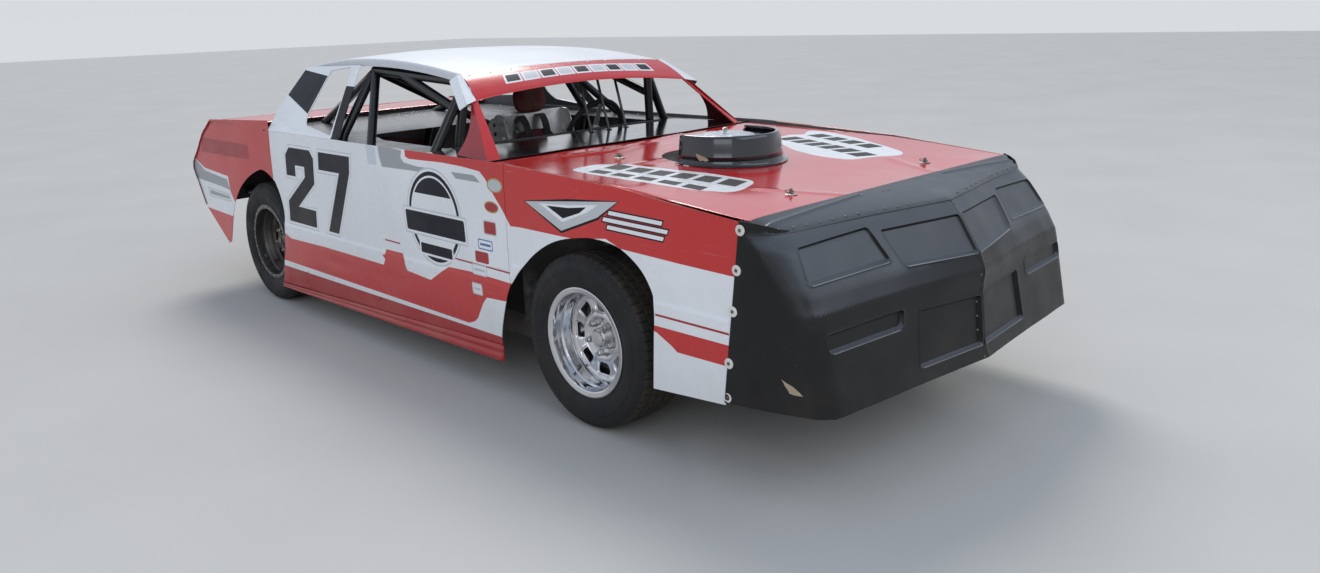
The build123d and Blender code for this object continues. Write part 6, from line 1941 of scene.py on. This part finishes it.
# single fasteners low on the doors and at the upper front corner of the quarters
P_, N_ = [], []
for sx in (-1, 1):
    for y, z in ((0.979, 0.240), (0.221, 0.233), (-0.633, 0.227), (1.326, 0.978)):
        P_.append((sx * (float(side_out(np.array([y]), np.array([z]))[0]) + 0.0008), y, z))
        N_.append((sx, 0, 0))
studs("side_fasteners", P_, N_, 0.0060, 0.0032, "bolt_dark")

# rocker skirts: rolled lip with a groove, closed at the front, and the flange behind it
lip_profile = [(0.00, 0.8480), (0.05, 0.8515), (0.12, 0.8542), (0.22, 0.8556), (0.32, 0.8548), (0.38, 0.8525), (0.43, 0.8506), (0.48, 0.8510),
               (0.55, 0.8540), (0.64, 0.8566), (0.75, 0.8578), (0.86, 0.8570), (0.94, 0.8545), (1.00, 0.8500), (1.00, 0.8450), (0.70, 0.8440),
               (0.30, 0.8440), (0.00, 0.8450)]
b = Build()
for sx in (-1, 1):
    V, F = [], []
    ys_ = [-0.7765, -0.7755, -0.7735, -0.7700, -0.7650, -0.7580] + [float(q) for q in np.linspace(-0.74, 1.285, 62)] + [1.2930]
    for y in ys_:
        t = (y + 0.7765) / 2.0695
        zt, zb = 0.2185 + (0.1325 - 0.2185) * t, 0.1468 + (0.1100 - 0.1468) * t
        e = math.sqrt(max(0.0, 1 - max(0.0, 1 - (y + 0.7765) / 0.016) ** 2))     # the rolled end at the front
        h = 0.5 * (zt + zb)
        k_ = 0.62 + 0.38 * e
        wob = 0.0007 * math.sin(7.1 * y + 0.8) + 0.0005 * math.sin(19.0 * y)
        for f, x in lip_profile:
            z = zt + (zb - zt) * f
            x = 0.8440 + (x - 0.8440) * (0.25 + 0.75 * e) + (wob if x > 0.846 else 0.0)
            V.append((sx * min(x, 0.8580), y, h + (z - h) * k_))
    n = len(lip_profile)
    for i in range(len(ys_) - 1):
        for k in range(n):
            j = (k + 1) % n
            F.append((i * n + k, i * n + j, (i + 1) * n + j, (i + 1) * n + k))
    F += [tuple(range(n)), tuple((len(ys_) - 1) * n + k for k in range(n))[::-1]]
    b.add(V, F, 0)
    V, F = [], []
    for y, z in ((-0.690, 0.1561), (0.10, 0.1425), (1.10, 0.1245)):
        V += [(sx * 0.786, y, z), (sx * 0.846, y, z), (sx * 0.846, y, z + 0.003), (sx * 0.786, y, z + 0.003)]
    for i in range(2):
        for k in range(4):
            j = (k + 1) % 4
            F.append((i * 4 + k, i * 4 + j, (i + 1) * 4 + j, (i + 1) * 4 + k))
    F += [(0, 1, 2, 3), (11, 10, 9, 8)]
    b.add(V, F, 1)
b.out("rocker_skirts_look", ["skirt_paint", "sheet_back"], "chassis", slot="skirt_red", replaces=("rocker_skirts",), angle=38)

# ---------------------------------------------------------------------------
# stage, light and camera (not part of the object)
# ---------------------------------------------------------------------------


def stage_mat(name, col, rough, amount=0.04):
    s = Shader(name)
    base = s.mix(s.rng(s.noise(0.8, 3.0), 0.3, 0.7), tint(col, 1 - amount), tint(col, 1 + amount))
    base = s.mix(s.rng(s.noise(40.0, 5.0), 0.4, 0.7, 0.0, 0.10), base, tint(col, 0.86))
    n = s.bump(s.noise(120.0, 4.0), 0.10, 0.002)
    return s.done(base, rough, n)


stage_mat("floor_matte", (0.50, 0.485, 0.455), 0.85)
me = bpy.data.meshes.new("floor")
me.from_pydata([(-40, -40, 0), (40, -40, 0), (40, 60, 0), (-40, 60, 0)], [], [(0, 1, 2, 3)])
me.materials.append(MATS["floor_matte"])
floor = bpy.data.objects.new("floor", me)
bpy.context.scene.collection.objects.link(floor)

world = bpy.data.worlds.new("studio")
world.use_nodes = True
wt = world.node_tree
bg = wt.nodes["Background"]
tc = wt.nodes.new("ShaderNodeTexCoord")
sep = wt.nodes.new("ShaderNodeSeparateXYZ")
rise = wt.nodes.new("ShaderNodeMapRange")
rise.inputs[1].default_value, rise.inputs[2].default_value = 0.0, 0.75
sky = wt.nodes.new("ShaderNodeMix")
sky.data_type = "RGBA"
sky.inputs[6].default_value = (0.93, 0.965, 1.0, 1)
sky.inputs[7].default_value = (0.62, 0.74, 0.95, 1)
wt.links.new(tc.outputs["Generated"], sep.inputs[0])
wt.links.new(sep.outputs[2], rise.inputs[0])
wt.links.new(rise.outputs[0], sky.inputs[0])
wt.links.new(sky.outputs[2], bg.inputs[0])
bg.inputs[1].default_value = 0.74
bpy.context.scene.world = world


def area(name, loc, target, size, power, col=(1, 1, 1)):
    ld = bpy.data.lights.new(name, "AREA")
    ld.shape = "RECTANGLE"
    ld.size, ld.size_y = size
    ld.energy = power
    ld.color = col
    o = bpy.data.objects.new(name, ld)
    bpy.context.scene.collection.objects.link(o)
    o.location = loc
    d = Vector(target) - Vector(loc)
    o.rotation_mode = "QUATERNION"
    o.rotation_quaternion = d.to_track_quat("-Z", "Y")
    return o


sun_data = bpy.data.lights.new("soft_sun", "SUN")
sun_data.energy = 1.75
sun_data.angle = math.radians(24.0)
sun_data.color = (1.0, 0.96, 0.90)
sun = bpy.data.objects.new("soft_sun", sun_data)
bpy.context.scene.collection.objects.link(sun)
sun.rotation_mode = "QUATERNION"
sun.rotation_quaternion = Vector((-0.40, -0.60, -0.72)).to_track_quat("-Z", "Y")
sun.location = (4.0, 6.0, 7.2)
area("fill", (-8.5, -5.5, 4.2), (0, 0, 0.5), (7.0, 4.0), 130, (0.90, 0.94, 1.0))

area("front", (2.0, -10.0, 7.5), (0, -1.8, 0.5), (14.0, 7.0), 360, (0.90, 0.95, 1.0))

cam_data = bpy.data.cameras.new("camera")
cam = bpy.data.objects.new("camera", cam_data)
bpy.context.scene.collection.objects.link(cam)
yaw, pitch, roll = math.radians(45.83), math.radians(-13.05), math.radians(-2.01)
d = Vector((math.cos(yaw) * math.cos(pitch), math.sin(yaw) * math.cos(pitch), math.sin(pitch)))
r = d.cross(Vector((0, 0, 1))).normalized()
u = r.cross(d)
r2 = r * math.cos(roll) + u * math.sin(roll)
u2 = u * math.cos(roll) - r * math.sin(roll)
M = Matrix((r2, u2, -d)).transposed().to_4x4()
M.translation = Vector((-3.093, -4.031, 1.534))
cam.matrix_world = M
cam_data.sensor_fit = "HORIZONTAL"
cam_data.sensor_width = 36.0
cam_data.lens = 998.5 * 36.0 / 1320.0
cam_data.shift_y = -(286.5 - 242.1) / 1320.0
cam_data.clip_start, cam_data.clip_end = 0.05, 200
bpy.context.scene.camera = cam
bpy.context.scene.view_settings.view_transform = "Standard"
